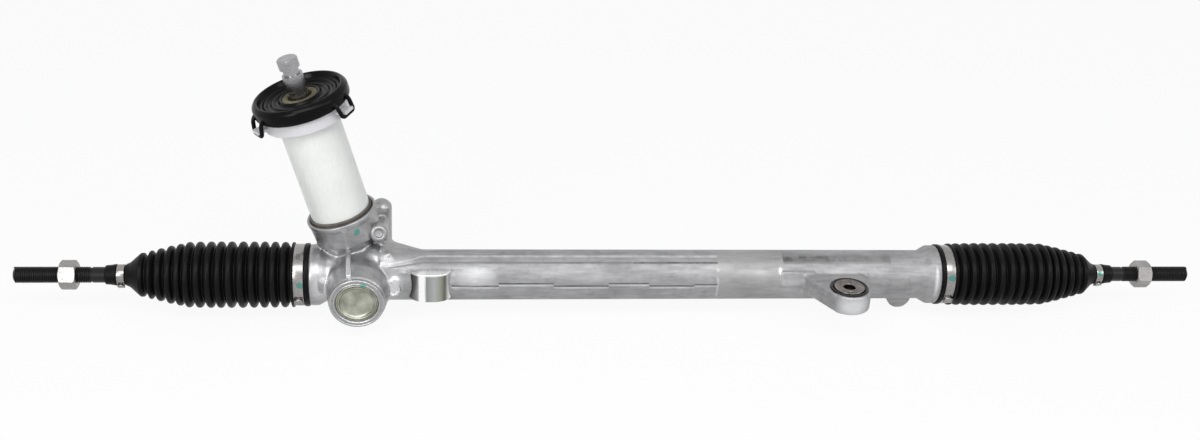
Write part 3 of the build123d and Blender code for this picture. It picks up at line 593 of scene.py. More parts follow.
tree, shader, place = new_finish("cast_aluminium", 0.85, 0.4)
skin = grouped(tree, speckle, Place=place, Grain_Scale=1500.0, Cloud_Scale=32.0)
blotch = grouped(tree, speckle, Place=place, Grain_Scale=500.0, Cloud_Scale=110.0)["Cloud"]
flow = grouped(tree, streaks, Place=place, Scale=240.0, Stretch=7.0)["Streak"]
share = halves(tree, flow, skin["Cloud"])
parts = connect(tree, "ShaderNodeSeparateXYZ", {0: place}).outputs
shade_lines, highlight_lines, steps, plain = die_lines(tree, parts, blotch)
highlight_mask = times(tree, painted_highlight(tree, place, *FAINT_HIGHLIGHT_PATCH), 0.5)
for middle, size in HIGHLIGHT_PATCHES:
    highlight_mask = most(tree, highlight_mask, painted_highlight(tree, place, middle, size))
# This fades the painted highlight and shade lines in patches.
line_fade = remap(tree, blotch, 0.1, 0.7, 1.0, 0.5)
tone = mix(tree, share, DARK_CAST, LIGHT_CAST)
# Over the cast tone go darker random clouds, the painted highlight patches, the plain skin, painted highlight lines
# and painted shade lines.
for mask, colour in ((remap(tree, blotch, 0.55, 1.0, 0.0, 0.3), tuple(c * 0.7 for c in DARK_CAST)),
                     (times(tree, highlight_mask, 0.75), HIGHLIGHT_TONE), (times(tree, plain, 0.3), PLAIN_SKIN),
                     (times(tree, highlight_lines, 0.6, line_fade), HIGHLIGHT_TONE),
                     (times(tree, shade_lines, 0.8, line_fade), SHADE_LINE_TONE)):
    tone = mix(tree, mask, tone, colour)
grit = times(tree, remap(tree, share, 0.0, 1.0, 0.72, 0.52),
             remap(tree, parts["X"], bar_x(-212), bar_x(-188), 0.6, 1.0),
             remap(tree, highlight_mask, 0.0, 1.0, 1.0, 0.7))
coat(tree, shader, paint(tree, place, tone, (TOWER_DAB, YOKE_DAB)), grit,
     (skin["Grain"], 0.06), (skin["Pits"], -0.06), (blotch, 0.14), (steps, 0.5))
print("rubbed patches", len(HIGHLIGHT_PATCHES) + 1)

# %% [markdown]
# Steels and plated parts share one recipe: two close tones in streaks along the bar, a little
# grain, and a roughness that follows the streaks. Only the numbers differ, so the recipe is a
# function and each row below is one finish.

# %% Steels


def steel_finish(name, dark, light, rough, metallic=1.0, stretch=18.0, grain=0.01, dabs=(), **plain):
    """Ground, rolled or plated steel."""
    tree, shader, place = new_finish(name, metallic, rough[0], **plain)
    streak = grouped(tree, streaks, Place=place, Scale=900.0, Stretch=stretch)["Streak"]
    noise = grouped(tree, speckle, Place=place, Grain_Scale=1500.0, Cloud_Scale=70.0)
    share = halves(tree, streak, noise["Cloud"], 0.55)
    coat(tree, shader, paint(tree, place, mix(tree, share, dark, light), dabs),
         remap(tree, share, 0.0, 1.0, *rough), (streak, grain), (noise["Grain"], grain))


CLAMP_DABS = ((on_bar(-289.5, -26.9, 3.5), 3.0), (on_bar(291.5, -25.2, 9.2), 3.6),
              (on_bar(441.5, -8.2, 4.0), 2.4))
for name, dark, light, rough, more in (
        ("ground_steel", (0.24, 0.24, 0.25), (0.42, 0.42, 0.43), (0.34, 0.2), {}),
        ("bearing_steel", (0.3, 0.3, 0.31), (0.45, 0.45, 0.46), (0.22, 0.12), {}),
        ("spring_steel", (0.1, 0.1, 0.1), (0.2, 0.19, 0.18), (0.45, 0.3), {"stretch": 1.0}),
        ("zinc_steel", (0.2, 0.19, 0.185), (0.4, 0.39, 0.385), (0.46, 0.26), {"stretch": 3.0, "grain": 0.02}),
        ("stainless_band", (0.16, 0.15, 0.145), (0.42, 0.41, 0.4), (0.34, 0.16),
         {"stretch": 1.5, "dabs": CLAMP_DABS}),
        ("machined_face", (0.3, 0.3, 0.31), (0.5, 0.5, 0.5), (0.32, 0.18),
         {"grain": 0.012, "dabs": (YOKE_DAB,)}),
        # The fin's near-white finish is a painted highlight.
        ("fin_highlight_painted", (0.62, 0.62, 0.63), (0.9, 0.9, 0.9), (0.4, 0.24), {"grain": 0.015}),
        ("bush_disc", (0.06, 0.052, 0.05), (0.32, 0.29, 0.28), (0.3, 0.14), {"stretch": 1.5, "grain": 0.03}),
        ("black_steel", (0.006, 0.006, 0.007), (0.016, 0.016, 0.017), (0.46, 0.3),
         {"metallic": 0.2, "grain": 0.03, "Specular_IOR_Level": 0.22})):
    steel_finish(name, dark, light, rough, **more)
print("steels", len(finishes) - 1)

# %% [markdown]
# The locating nose is milled, and sits in the crossmember. A colour ramp across it lays down upright bands: one bright
# band, a painted reflection, and dark corners, painted shade; fine upright scratches break them up. Its top edge is
# painted lighter, a painted highlight.

# %% Milled nose finish
NOSE_X, NOSE_HALF = -178.5, 19.2
# Stops across the nose: a painted reflection in the bright band and painted shade at the dark corners.
NOSE_PAINTED_BANDS = ((0.0, (0.06, 0.06, 0.06)), (0.1, (0.12, 0.12, 0.125)), (0.24, (0.3, 0.3, 0.31)),
         (0.29, (0.95, 0.95, 0.96)), (0.4, (0.95, 0.95, 0.95)), (0.44, (0.26, 0.27, 0.27)),
         (0.62, (0.42, 0.43, 0.43)), (0.76, (0.3, 0.31, 0.25)), (0.86, (0.11, 0.11, 0.09)),
         (1.0, (0.06, 0.06, 0.05)))
tree, shader, place = new_finish("milled_nose", 0.95, 0.26)
parts = connect(tree, "ShaderNodeSeparateXYZ", {0: place}).outputs
scratch = connect(tree, "ShaderNodeMapping", {"Vector": place, "Scale": (1.0, 1.0, 0.05)})
fine = rough_noise(tree, scratch.outputs[0], 1100.0, 4.0)
across = remap(tree, parts["X"], bar_x(NOSE_X - NOSE_HALF), bar_x(NOSE_X + NOSE_HALF))
ramp = connect(tree, "ShaderNodeValToRGB", {0: math(tree, "MULTIPLY_ADD", fine, 0.05, across)})
for at, colour in NOSE_PAINTED_BANDS:
    stop = ramp.color_ramp.elements.new(at) if 0 < at < 1 else ramp.color_ramp.elements[int(at)]
    stop.color = (*colour, 1)
# The top edge is painted lighter: a painted highlight.
painted_top_highlight = math(tree, "GREATER_THAN", parts["Z"], (BAR_MIDDLE.z + 12.6) * MM)
tone = mix(tree, times(tree, painted_top_highlight, 0.8), ramp.outputs[0], (0.75, 0.75, 0.76))
coat(tree, shader, tone, remap(tree, fine, 0.3, 0.7, 0.3, 0.2), (fine, 0.02))
print("nose bands", len(NOSE_PAINTED_BANDS))

# %% [markdown]
# The yoke plug is turned alloy with a pale green-grey passivated skin. Lathe rings round its
# axis give it away, so this finish knows where that axis is.

# %% Plug alloy
TOOL_PITCH = 0.55
tree, shader, place = new_finish("plug_alloy", 0.75, 0.35)
noise = grouped(tree, speckle, Place=place, Grain_Scale=1200.0, Cloud_Scale=90.0)
ring = grouped(tree, rings, Place=place, Start=tuple(YOKE_START * MM), Way=tuple(FRONT),
               Pitch=TOOL_PITCH * MM)["Ring"]
tone = mix(tree, noise["Cloud"], (0.22, 0.23, 0.18), (0.46, 0.47, 0.4))
coat(tree, shader, paint(tree, place, tone, (YOKE_DAB,)), remap(tree, noise["Cloud"], 0.0, 1.0, 0.42, 0.28),
     (ring, 0.012), (noise["Grain"], 0.01))
print("plug alloy rings", TOOL_PITCH, "mm apart")

# %% [markdown]
# Rubber and plastics. The boots are matt, with a bloom of dust on the upward faces. The seal is a shinier compound.
# The cover tube is unfilled plastic: milky, so light goes into it and comes out again nearby, which is what subsurface
# weight is for. Its cup is a shade greyer and a little more lilac than its tube.

# %% Rubber and plastics
BLOOM = (0.09, 0.088, 0.085)


def rubber_finish(name, dark, light, rough, bloom, shine):
    """Moulded rubber with grain and bloom."""
    tree, shader, place = new_finish(name, 0.0, rough[0], Specular_IOR_Level=shine)
    noise = grouped(tree, speckle, Place=place, Grain_Scale=1400.0, Cloud_Scale=60.0)
    pale = grouped(tree, dust, Place=place, Amount=bloom)["Mask"]
    tone = mix(tree, pale, mix(tree, noise["Cloud"], dark, light), BLOOM)
    coat(tree, shader, tone, remap(tree, noise["Cloud"], 0.0, 1.0, *rough),
         (noise["Grain"], 0.02), (noise["Cloud"], 0.05))


for name, dark, light, rough, bloom, shine in (
        ("boot_rubber", (0.002, 0.002, 0.002), (0.005, 0.005, 0.005), (0.46, 0.34), 0.05, 0.09),
        ("seal_rubber", (0.001, 0.001, 0.001), (0.003, 0.003, 0.003), (0.27, 0.17), 0.02, 0.09),
        ("gasket_rubber", (0.05, 0.043, 0.038), (0.16, 0.145, 0.13), (0.55, 0.4), 0.2, 0.3),
        ("black_rubber", (0.002, 0.002, 0.002), (0.005, 0.005, 0.005), (0.3, 0.2), 0.04, 0.32),
        ("oiled_felt", (0.09, 0.08, 0.045), (0.2, 0.18, 0.11), (0.9, 0.7), 0.3, 0.2)):
    rubber_finish(name, dark, light, rough, bloom, shine)


def plastic_finish(name, dark, light, rough, milky):
    """Unfilled moulded plastic."""
    tree, shader, place = new_finish(name, 0.0, rough[0], IOR=1.49, Subsurface_Weight=milky,
                                     Subsurface_Scale=0.006, Subsurface_Radius=(1.0, 1.0, 0.85))
    noise = grouped(tree, speckle, Place=place, Grain_Scale=700.0, Cloud_Scale=40.0)
    flow = grouped(tree, streaks, Place=place, Scale=160.0, Stretch=0.25)["Streak"]
    share = halves(tree, flow, noise["Cloud"])
    foot, brim = (pinion.at(along).dot(PINION_WAY) for along in (149, 150))
    cup = remap(tree, vector(tree, "DOT_PRODUCT", place, tuple(PINION_WAY)), foot, brim, 0.0, 0.75)
    coat(tree, shader, mix(tree, cup, mix(tree, share, dark, light), (0.56, 0.54, 0.57)),
         remap(tree, share, 0.0, 1.0, *rough), (flow, 0.03), (noise["Grain"], 0.008))


plastic_finish("translucent_plastic", (0.7, 0.715, 0.68), (0.81, 0.82, 0.79), (0.4, 0.26), 0.3)
plastic_finish("bush_plastic", (0.78, 0.75, 0.66), (0.86, 0.83, 0.76), (0.5, 0.4), 0.1)
print("finishes", sorted(finishes))

# %% [markdown]
# The nodes that keep their CAD shape only need their finish. Which finish each one has is
# said once here, by slot, and everything that is replaced further on takes the same slot.

# %% Finishes on the CAD nodes
SLOTS = {
    "cast_aluminium": ("rack_housing", "support_yoke"),
    "ground_steel": ("rack_bar", "left_ball_socket", "right_ball_socket", "pinion_shaft"),
    "bush_plastic": ("rack_bush", "left_ball_seat", "right_ball_seat", "yoke_liner", "pinion_lower_bush",
                     "bearing_cage"),
    "bearing_steel": ("bearing_outer_race", "bearing_inner_race", "bearing_balls"),
    "black_rubber": ("pinion_shaft_seal", "cover_seal_ring", "dash_seal", "yoke_o_ring", "mount_rubber_bush"),
    "translucent_plastic": ("pinion_cover",),
    "spring_steel": ("yoke_spring",),
    "plug_alloy": ("yoke_plug",),
    "zinc_steel": ("bearing_nut", "mount_steel_sleeve", "left_lock_nut", "right_lock_nut"),
    "black_steel": ("left_tie_rod", "right_tie_rod"),
    "boot_rubber": ("left_boot", "right_boot"),
    "stainless_band": ("left_big_clamp", "right_big_clamp", "left_small_clamp", "right_small_clamp")}
slot_of = {node: slot for slot, nodes in SLOTS.items() for node in nodes}
for node, thing in frame["nodes"].items():
    thing.data.materials.clear()
    thing.data.materials.append(finishes[slot_of[node]])
print("nodes finished", len(slot_of), "of", len(frame["nodes"]))

# %% [markdown]
# Most pieces here were turned or moulded round an axis, so the workhorse is an outline that
# is spun. The outline starts as a plane merged to one vertex, which is then extruded from
# corner to corner as one would click it in. Corners are rounded by a vertex bevel while the
# outline is still a wire, because that is one operation instead of one per ring of edges.

# %% Outline and turning helpers
NEAR = 1e-6


def choose(piece, test, kind="FACE"):
    """In edit mode, selects the faces, edges or vertices that a test accepts."""
    bpy.ops.mesh.select_mode(type=kind)
    bpy.ops.mesh.select_all(action="DESELECT")
    bpy.ops.object.mode_set(mode="OBJECT")
    items = {"FACE": piece.data.polygons, "EDGE": piece.data.edges, "VERT": piece.data.vertices}[kind]
    for item in items:
        item.select = test(item)
    bpy.ops.object.mode_set(mode="EDIT")


def outwards():
    """In edit mode, merges doubles and turns every face outwards."""
    bpy.ops.mesh.select_all(action="SELECT")
    bpy.ops.mesh.remove_doubles(threshold=NEAR)
    bpy.ops.mesh.normals_make_consistent(inside=False)


def first_vertex(name, place):
    """A mesh of one vertex at a place in metres, in edit mode and selected."""
    bpy.ops.object.select_all(action="DESELECT")
    bpy.ops.mesh.primitive_plane_add(size=MM, location=place)
    piece = bpy.context.object
    piece.name = piece.data.name = name
    bpy.ops.object.mode_set(mode="EDIT")
    bpy.ops.mesh.select_mode(type="VERT")
    bpy.ops.mesh.select_all(action="SELECT")
    bpy.ops.mesh.merge(type="CENTER")
    return piece


def extrude(way):
    """Extrudes what is selected, by a step in metres."""
    bpy.ops.mesh.extrude_region_move(TRANSFORM_OT_translate={"value": way})


def draw(name, origin, places, closed=False, rounds=None):
    """A wire from place to place, in edit mode. rounds maps a size in mm to the corners that get it."""
    piece = first_vertex(name, origin)
    bpy.ops.transform.translate(value=places[0] - origin)
    for start, end in zip(places, places[1:]):
        extrude(end - start)
    if closed:
        ends = {0, len(places) - 1}
        choose(piece, lambda v: v.index in ends, "VERT")
        bpy.ops.mesh.edge_face_add()
    for size, corners in (rounds or {}).items():
        spots = [places[i] - origin for i in corners]
        choose(piece, lambda v: any((v.co - s).length < NEAR for s in spots), "VERT")
        bpy.ops.mesh.bevel(offset=size * MM, segments=4 if size > 0.5 else 2, affect="VERTICES",
                           clamp_overlap=True)
    return piece


def settle(piece, smooth=35):
    """Leaves edit mode, with the mesh placed from the world origin and shaded."""
    if piece.mode == "EDIT":
        bpy.ops.object.mode_set(mode="OBJECT")
    bpy.ops.object.transform_apply(location=True, rotation=True, scale=True)
    bpy.ops.object.shade_smooth_by_angle(angle=radians(smooth))
    return piece


def turned(name, line, corners, rounds=None, closed=True, steps=96, smooth=35):
    """A piece spun from (along, radius) corners in mm round one of the axes."""
    places = [line.at(a, r) for a, r in corners]
    piece = draw(name, line.at(corners[0][0]), places, closed, rounds)
    bpy.ops.mesh.select_all(action="SELECT")
    bpy.ops.mesh.spin(steps=steps, angle=tau, center=line.at(0), axis=line.way)
    outwards()
    return settle(piece, smooth)


def sphere(radius, place, segments=40):
    """A ball, with its radius in mm and its middle in metres."""
    bpy.ops.object.select_all(action="DESELECT")
    bpy.ops.mesh.primitive_uv_sphere_add(segments=segments, ring_count=segments // 2, radius=radius * MM,
                                         location=place)
    return bpy.context.object


def cut_off(place, way):
    """Cuts off what lies behind a plane, and closes the cut. Leaves the piece in edit mode."""
    bpy.ops.object.mode_set(mode="EDIT")
    bpy.ops.mesh.select_all(action="SELECT")
    bpy.ops.mesh.bisect(plane_co=place, plane_no=way, clear_inner=True, use_fill=True)


def apply_modifier(piece, kind, **settings):
    """Adds a modifier to a piece, sets it and applies it."""
    bpy.context.view_layer.objects.active = piece
    added = piece.modifiers.new(kind.lower(), kind)
    for key, value in settings.items():
        setattr(added, key, value)
    bpy.ops.object.modifier_apply(modifier=added.name)


def place_piece(piece, body, *nodes, finish=None, slot=None):
    """Gives a piece its body, its finish and the CAD nodes that it stands for."""
    slot = slot or slot_of[nodes[0]]
    piece.data.materials.clear()
    piece.data.materials.append(finishes[finish or slot])
    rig.slot(piece, slot)
    if body:
        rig.ride(piece, body)
    if nodes:
        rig.replaces(piece, *nodes)
    print(piece.name, len(piece.data.polygons), "faces")


def join(name, *pieces):
    """Joins pieces into the first one."""
    bpy.ops.object.select_all(action="DESELECT")
    for piece in pieces:
        piece.select_set(True)
    bpy.context.view_layer.objects.active = pieces[0]
    bpy.ops.object.join()
    pieces[0].name = pieces[0].data.name = name
    return pieces[0]


print("helpers ready")

# %% [markdown]
# A boot is blow-moulded rubber bellows, so only its outside is drawn and Solidify gives the
# wall inwards. Each crest and each valley is two corners, rounded by the bevel. The boot joins
# three bodies: its big end stays on the housing, its cuff swings with the tie rod, and the
# folds between follow the bar. One blend joins two bodies only, so the boot is made as two
# pieces that meet in a valley: the folds, and the neck with its cuff, which is thinner.

# %% Boots
CRESTS = ((303.8, 28.6), (312.4, 28.8), (321.3, 28.9), (330.2, 28.9), (339.6, 28.9), (349.3, 28.9),
          (358.2, 28.9), (366.6, 28.8), (375.9, 28.7), (384.7, 28.4), (392.2, 26.8), (400.2, 25.1),
          (408.6, 22.9))
CREST_HALF, VALLEY_HALF, FOLD_DEPTH = 1.8, 0.5, 4.9
SPLIT, SPLIT_RADIUS = 412.6, 17.4
FOLD_WALL, NECK_WALL = 1.1, 0.6


def fold_corners(crests, start, end):
    """Corners of a row of folds, from a first corner to a last one."""
    corners = [start]
    for (x, r), (next_x, next_r) in zip(crests, crests[1:] + (end,)):
        corners += [(x - CREST_HALF, r), (x + CREST_HALF, r)]
        if (next_x, next_r) != end:
            middle, low = (x + next_x) / 2, (r + next_r) / 2 - FOLD_DEPTH
            corners += [(middle - VALLEY_HALF, low), (middle + VALLEY_HALF, low)]
    return corners + [end]


def make_boot(side, line, rod):
    """Both pieces of one boot."""
    lip = [(282.6, 26.2), (282.6, 27.7), (286.1, 27.7), (286.5, 26.15), (295.2, 26.15), (295.5, 28.4),
           (297.3, 28.4), (298.2, 24.2)]
    corners = lip + fold_corners(CRESTS, (299.4, 24.0), (SPLIT, SPLIT_RADIUS))
    crests = [i for i in range(len(lip) + 1, len(corners) - 1) if (i - len(lip) - 1) % 4 < 2]
    valleys = [i for i in range(len(lip) - 1, len(corners) - 1) if i not in crests]
    neck = [(SPLIT, SPLIT_RADIUS), (415.6, 21.0), (417.2, 21.0), (419.4, 16.4), (420.6, 16.4), (422.4, 19.0),
            (425.0, 19.0), (434.0, 10.8), (437.2, 9.4), (438.2, 8.2), (444.9, 8.2), (445.6, 9.4),
            (450.0, 8.6), (454.3, 8.3), (454.7, 7.6)]
    for part, outline, rounds, wall, first, last, ends in (
            ("_boot_folds", corners, {0.35: range(1, 7), 1.6: crests, 0.45: valleys}, FOLD_WALL,
             "housing", "rack", (297, SPLIT)),
            ("_boot_neck", neck, {0.8: range(1, 8), 0.35: range(8, 14)}, NECK_WALL,
             "rack", rod, (SPLIT, 436))):
        piece = turned(side + part, line, outline, rounds, closed=False, smooth=60)
        apply_modifier(piece, "SOLIDIFY", thickness=wall * MM, offset=-1, use_even_offset=True)
        bpy.ops.object.shade_smooth_by_angle(angle=radians(60))
        place_piece(piece, None, side + "_boot")
        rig.blend(piece, first, last, start=tuple(line.at(ends[0])), end=tuple(line.at(ends[1])))


make_boot("left", left_bar, "left_rod")
make_boot("right", bar, "right_rod")

# %% [markdown]
# Each boot is held by an ear clamp: a flat band whose ends are pulled together by pinching a
# raised loop. The band is turned. The loop is drawn from the side, extruded across the band
# and given its thickness, and its two pinched feet stand close together.

# %% Boot clamps
HALF_EAR = 3.1


def ear_clamp(name, line, start, width, inner, thickness, turn, rise):
    """Band with a pinched ear. turn is where the ear stands, round the axis."""
    middle, outer = start + width / 2, inner + thickness
    band = turned(name, line, [(start, inner + 0.12), (start + 0.4, inner), (start + width - 0.4, inner),
                               (start + width, inner + 0.12), (start + width, outer),
                               (start + width - 0.3, outer + 0.08), (start + 0.3, outer + 0.08),
                               (start, outer)], steps=128)
    half = degrees(HALF_EAR / inner)
    shape = [(-half * 2.0, inner + 0.3), (-half, inner + 0.5), (-half * 0.55, inner + rise * 0.45),
             (-half, inner + rise * 0.8), (-half * 0.7, inner + rise), (half * 0.7, inner + rise),
             (half, inner + rise * 0.8), (half * 0.55, inner + rise * 0.45), (half, inner + 0.5),
             (half * 2.0, inner + 0.3)]
    first = start + 0.5
    places = [line.at(first, r, turn + t) for t, r in shape]
    ear = draw(name + "_ear", line.at(first), places, rounds={0.5: range(1, 9)})
    bpy.ops.mesh.select_all(action="SELECT")
    extrude(line.way * (width - 1) * MM)
    outwards()
    settle(ear)
    apply_modifier(ear, "SOLIDIFY", thickness=thickness * MM, offset=0)
    print(name, "ear at", turn, "degrees, middle", round(middle, 1))
    return join(name, band, ear)


for side, line, way in (("left", left_bar, -1), ("right", bar, 1)):
    big = ear_clamp(side + "_big_clamp_band", line, 286.7, 8.4, 26.18, 0.8, way * 118, 3.6)
    place_piece(big, "housing", side + "_big_clamp")
    small = ear_clamp(side + "_small_clamp_band", line, 438.5, 6.0, 8.25, 0.7, way * 140, 3.0)
    place_piece(small, side + "_rod", side + "_small_clamp")

# %% [markdown]
# A tie rod is a bar with a ball forged on one end and a long rolled thread on the other. The
# thread is a real helix: one pitch of its outline and a Screw modifier. Its root and crest
# are those of a 14 mm thread of 1.5 mm pitch.

# %% Tie rods
BALL_AT, BALL_RADIUS = 372, 12


def thread(name, line, start, turns, pitch=1.5, root=6.15, crest=6.98):
    """Threaded sleeve with closed ends."""
    corners = [(start, root), (start + 0.56, crest), (start + 0.94, crest), (start + pitch, root)]
    places = [line.at(a, r) for a, r in corners]
    piece = draw(name, line.at(start), places)
    bpy.ops.object.mode_set(mode="OBJECT")
    apply_modifier(piece, "SCREW", axis="X", screw_offset=pitch * MM * (1 if line is bar else -1), angle=tau,
                   iterations=turns, steps=36, render_steps=36, use_merge_vertices=True, merge_threshold=1e-5)
    bpy.ops.object.mode_set(mode="EDIT")
    outwards()
    bpy.ops.mesh.fill_holes(sides=0)
    outwards()
    return settle(piece)


def make_rod(side, line):
    """Ball, shank and both threads of one tie rod."""
    shank = turned(side + "_rod_bar", line, [
        (380.0, 0), (380.0, 7.0), (384, 6.6), (390, 6.8), (464.6, 6.8), (466.0, 6.2), (490.0, 6.2),
        (528.6, 6.2), (530.0, 5.0), (530.0, 0)], {0.4: (2, 3, 8)}, closed=False, steps=64)
    ball = sphere(BALL_RADIUS, line.at(BALL_AT), segments=48)
    cut_off(line.at(361.5), line.way)
    settle(ball)
    inner = thread(side + "_inner_thread", line, 466.0, 15)
    outer = thread(side + "_outer_thread", line, 492.6, 24)
    rod = join(side + "_tie_rod_bar", shank, ball, inner, outer)
    place_piece(rod, side + "_rod", side + "_tie_rod")


make_rod("left", left_bar)
make_rod("right", bar)

# %% [markdown]
# The dash seal is a thick moulded disc. From the rim inwards it has a fat rounded bead, a
# flat ring, two concentric ridges that step down, and a raised lip round the shaft hole. All
# of that is turned. Three rubber loops hang from its rim and hook round the cup's tips; each
# is drawn as a wire, made a curve for its round section, and made a mesh again.

# %% Dash seal
seal = turned("dash_seal_disc", pinion, [
    (163.2, 15.0), (170.6, 15.0), (171.5, 15.8), (171.5, 17.0), (169.2, 18.4), (168.6, 21.0), (170.2, 22.4),
    (170.2, 24.0), (168.8, 25.4), (168.8, 27.6), (170.8, 29.0), (170.8, 30.4), (169.6, 31.8), (169.8, 33.8),
    (174.8, 35.6), (174.8, 38.0), (171.4, 40.7), (164.6, 40.9), (161.4, 39.6), (161.4, 36.6), (163.2, 36.4),
    (163.2, 30.0)], {0.4: range(1, 13), 1.6: range(13, 19), 0.3: (19, 20)}, steps=128, smooth=60)
loops = []
for number, turn in enumerate((180, 300, 60)):
    tangent = pinion.at(0, 1, turn + 90) - pinion.at(0)
    shape = [(168.0, 37.6, -8.6), (164.8, 41.6, -8.6), (154.2, 43.8, -7.8), (154.2, 43.8, 7.8),
             (164.8, 41.6, 8.6), (168.0, 37.6, 8.6)]
    places = [pinion.at(a, r, turn) + tangent * w for a, r, w in shape]
    strap = draw("loop_%d" % number, places[0], places, rounds={2.6: (1, 2, 3, 4)})
    bpy.ops.object.mode_set(mode="OBJECT")
    bpy.ops.object.convert(target="CURVE")
    strap = bpy.context.object
    strap.data.bevel_depth, strap.data.bevel_resolution, strap.data.use_fill_caps = 1.8 * MM, 3, True
    bpy.ops.object.convert(target="MESH")
    strap = bpy.context.object
    bpy.ops.object.mode_set(mode="EDIT")
    outwards()
    loops.append(settle(strap))
place_piece(join("dash_seal_rubber", seal, *loops), "housing", "dash_seal", finish="seal_rubber")

# %% [markdown]
# Between the shaft and the seal's lip sits a small felt washer, soaked khaki with oil. It is
# a flat ring with soft edges. It has no CAD node, so it is told its slot.

# %% Felt washer
washer = turned("felt_washer", pinion, [
    (166.4, 10.3), (170.4, 10.3), (171.0, 10.9), (171.0, 14.6), (170.2, 15.2), (166.4, 15.2)],
    {0.3: (1, 2, 3, 4)}, steps=80, smooth=60)
place_piece(washer, "housing", finish="oiled_felt", slot="black_rubber")

# %% [markdown]
# The plug closes the yoke's cylinder: a threaded ring with a dished face. Its steps are
# shallow, but they are what one sees of it, so they are drawn corner by corner.

# %% Yoke plug
plug = turned("yoke_plug_turned", yoke, [
    (38.6, 0), (38.6, 16.8), (39.6, 17.9), (47.6, 17.9), (48.1, 17.4), (48.1, 16.9), (47.2, 16.7),
    (47.2, 16.2), (48.3, 16.0), (48.3, 15.2), (46.2, 14.0), (45.3, 11.5), (45.1, 6.0), (45.4, 0)],
    {0.3: (4, 5, 8, 9), 1.2: (10, 11), 2.0: (12,)}, closed=False, steps=112)
place_piece(plug, "housing", "yoke_plug")

# %% [markdown]
# The right ear holds a rubber bush with a steel sleeve through it. The rubber bulges a little
# above the ear, has a moulded groove, and the sleeve ends in a pressed disc with a raised rim
# and a raised ring round the bolt hole.

# %% Mounting bush
rubber = turned("mount_bush_rubber", upright_pin, [
    (1.3, 8.6), (1.3, 15.6), (2.4, 16.1), (17.9, 16.1), (18.4, 17.0), (19.3, 16.8), (19.6, 15.4),
    (18.4, 14.4), (18.0, 12.4), (18.2, 8.6)], {0.5: range(1, 9)}, steps=96, smooth=60)
place_piece(rubber, "housing", "mount_rubber_bush")
sleeve = turned("mount_sleeve_turned", upright_pin, [
    (0, 5.3), (0, 8.3), (0.3, 8.5), (18.4, 8.5), (18.4, 13.3), (18.8, 13.6), (19.5, 13.5), (19.8, 12.9),
    (19.5, 11.2), (18.9, 10.3), (18.9, 9.0), (19.8, 8.2), (20.0, 7.2), (19.7, 6.2), (18.8, 5.3)],
    {0.25: range(5, 14)}, steps=80)
place_piece(sleeve, "housing", "mount_steel_sleeve", finish="bush_disc")

# %% [markdown]
# Inside the collar a rubber ring seals the foot of the cover tube. It stands a little above
# the collar, as a dusty brown band with two lips.

# %% Cover seal ring
ring = turned("cover_seal_ring_lips", pinion, [
    (50.1, 25.65), (59.8, 25.65), (60.6, 26.1), (60.2, 27.0), (58.6, 27.3), (58.2, 26.8), (57.0, 26.9),
    (56.4, 27.2), (50.1, 27.2)], {0.25: range(1, 8)}, steps=96, smooth=60)
place_piece(ring, "housing", "cover_seal_ring", finish="gasket_rubber")

# %% [markdown]
# The housing is one casting, so nothing on it meets at a knife edge: every boss runs into the
# tube through a fillet. Bevels can't do that on a mesh with so many crossings. Instead the
# CAD shape is copied and merged, the cast details are added as loose solids, everything is
# remeshed into one skin of equal cells, and smoothing that skin leaves the fillets.

# %% Cast details
DENT_DEPTH = 1.2


def solid_bar(name, start, end, width, up, rise, sink=3.0):
    """A rib from start to end (mm), width across, with its top rise above the line."""
    way = (end - start).normalized()
    side = way.cross(up).normalized()
    top = side.cross(way)
    piece = first_vertex(name, (start - side * width / 2 - top * sink) * MM)
    for step in (side * width, top * (sink + rise), end - start):
        extrude(step * MM)
        bpy.ops.mesh.select_all(action="SELECT")
    outwards()
    return settle(piece)


def disc(name, middle, way, radius, rise, sink=4.0, dent=0.0):
    """A round pad with its face rise above the middle (mm); dent is the radius of a sunk dot."""
    way = way.normalized()
    bpy.ops.object.select_all(action="DESELECT")
    bpy.ops.mesh.primitive_cylinder_add(vertices=40, radius=radius * MM, depth=(rise + sink) * MM,
                                        location=(middle + way * (rise - sink) / 2) * MM,
                                        rotation=way.to_track_quat("Z", "Y").to_euler())
    piece = bpy.context.object
    piece.name = name
    bpy.ops.object.transform_apply(location=False, rotation=True, scale=False)
    if dent:
        bpy.ops.object.mode_set(mode="EDIT")
        choose(piece, lambda f: f.normal.dot(way) > 0.9)
        bpy.ops.mesh.inset(thickness=(radius - dent) * MM)
        bpy.ops.transform.translate(value=way * -DENT_DEPTH * MM)
    return settle(piece)


def outward(angle):
    """Direction out of the tube. angle 0 is straight up, 90 is to the front."""
    return Vector((0, -sin(radians(angle)), cos(radians(angle))))


def on_tube(x, angle, radius=22.3):
    """Place on the tube in mm."""
    return off_bar(x, 0, 0) + outward(angle) * radius


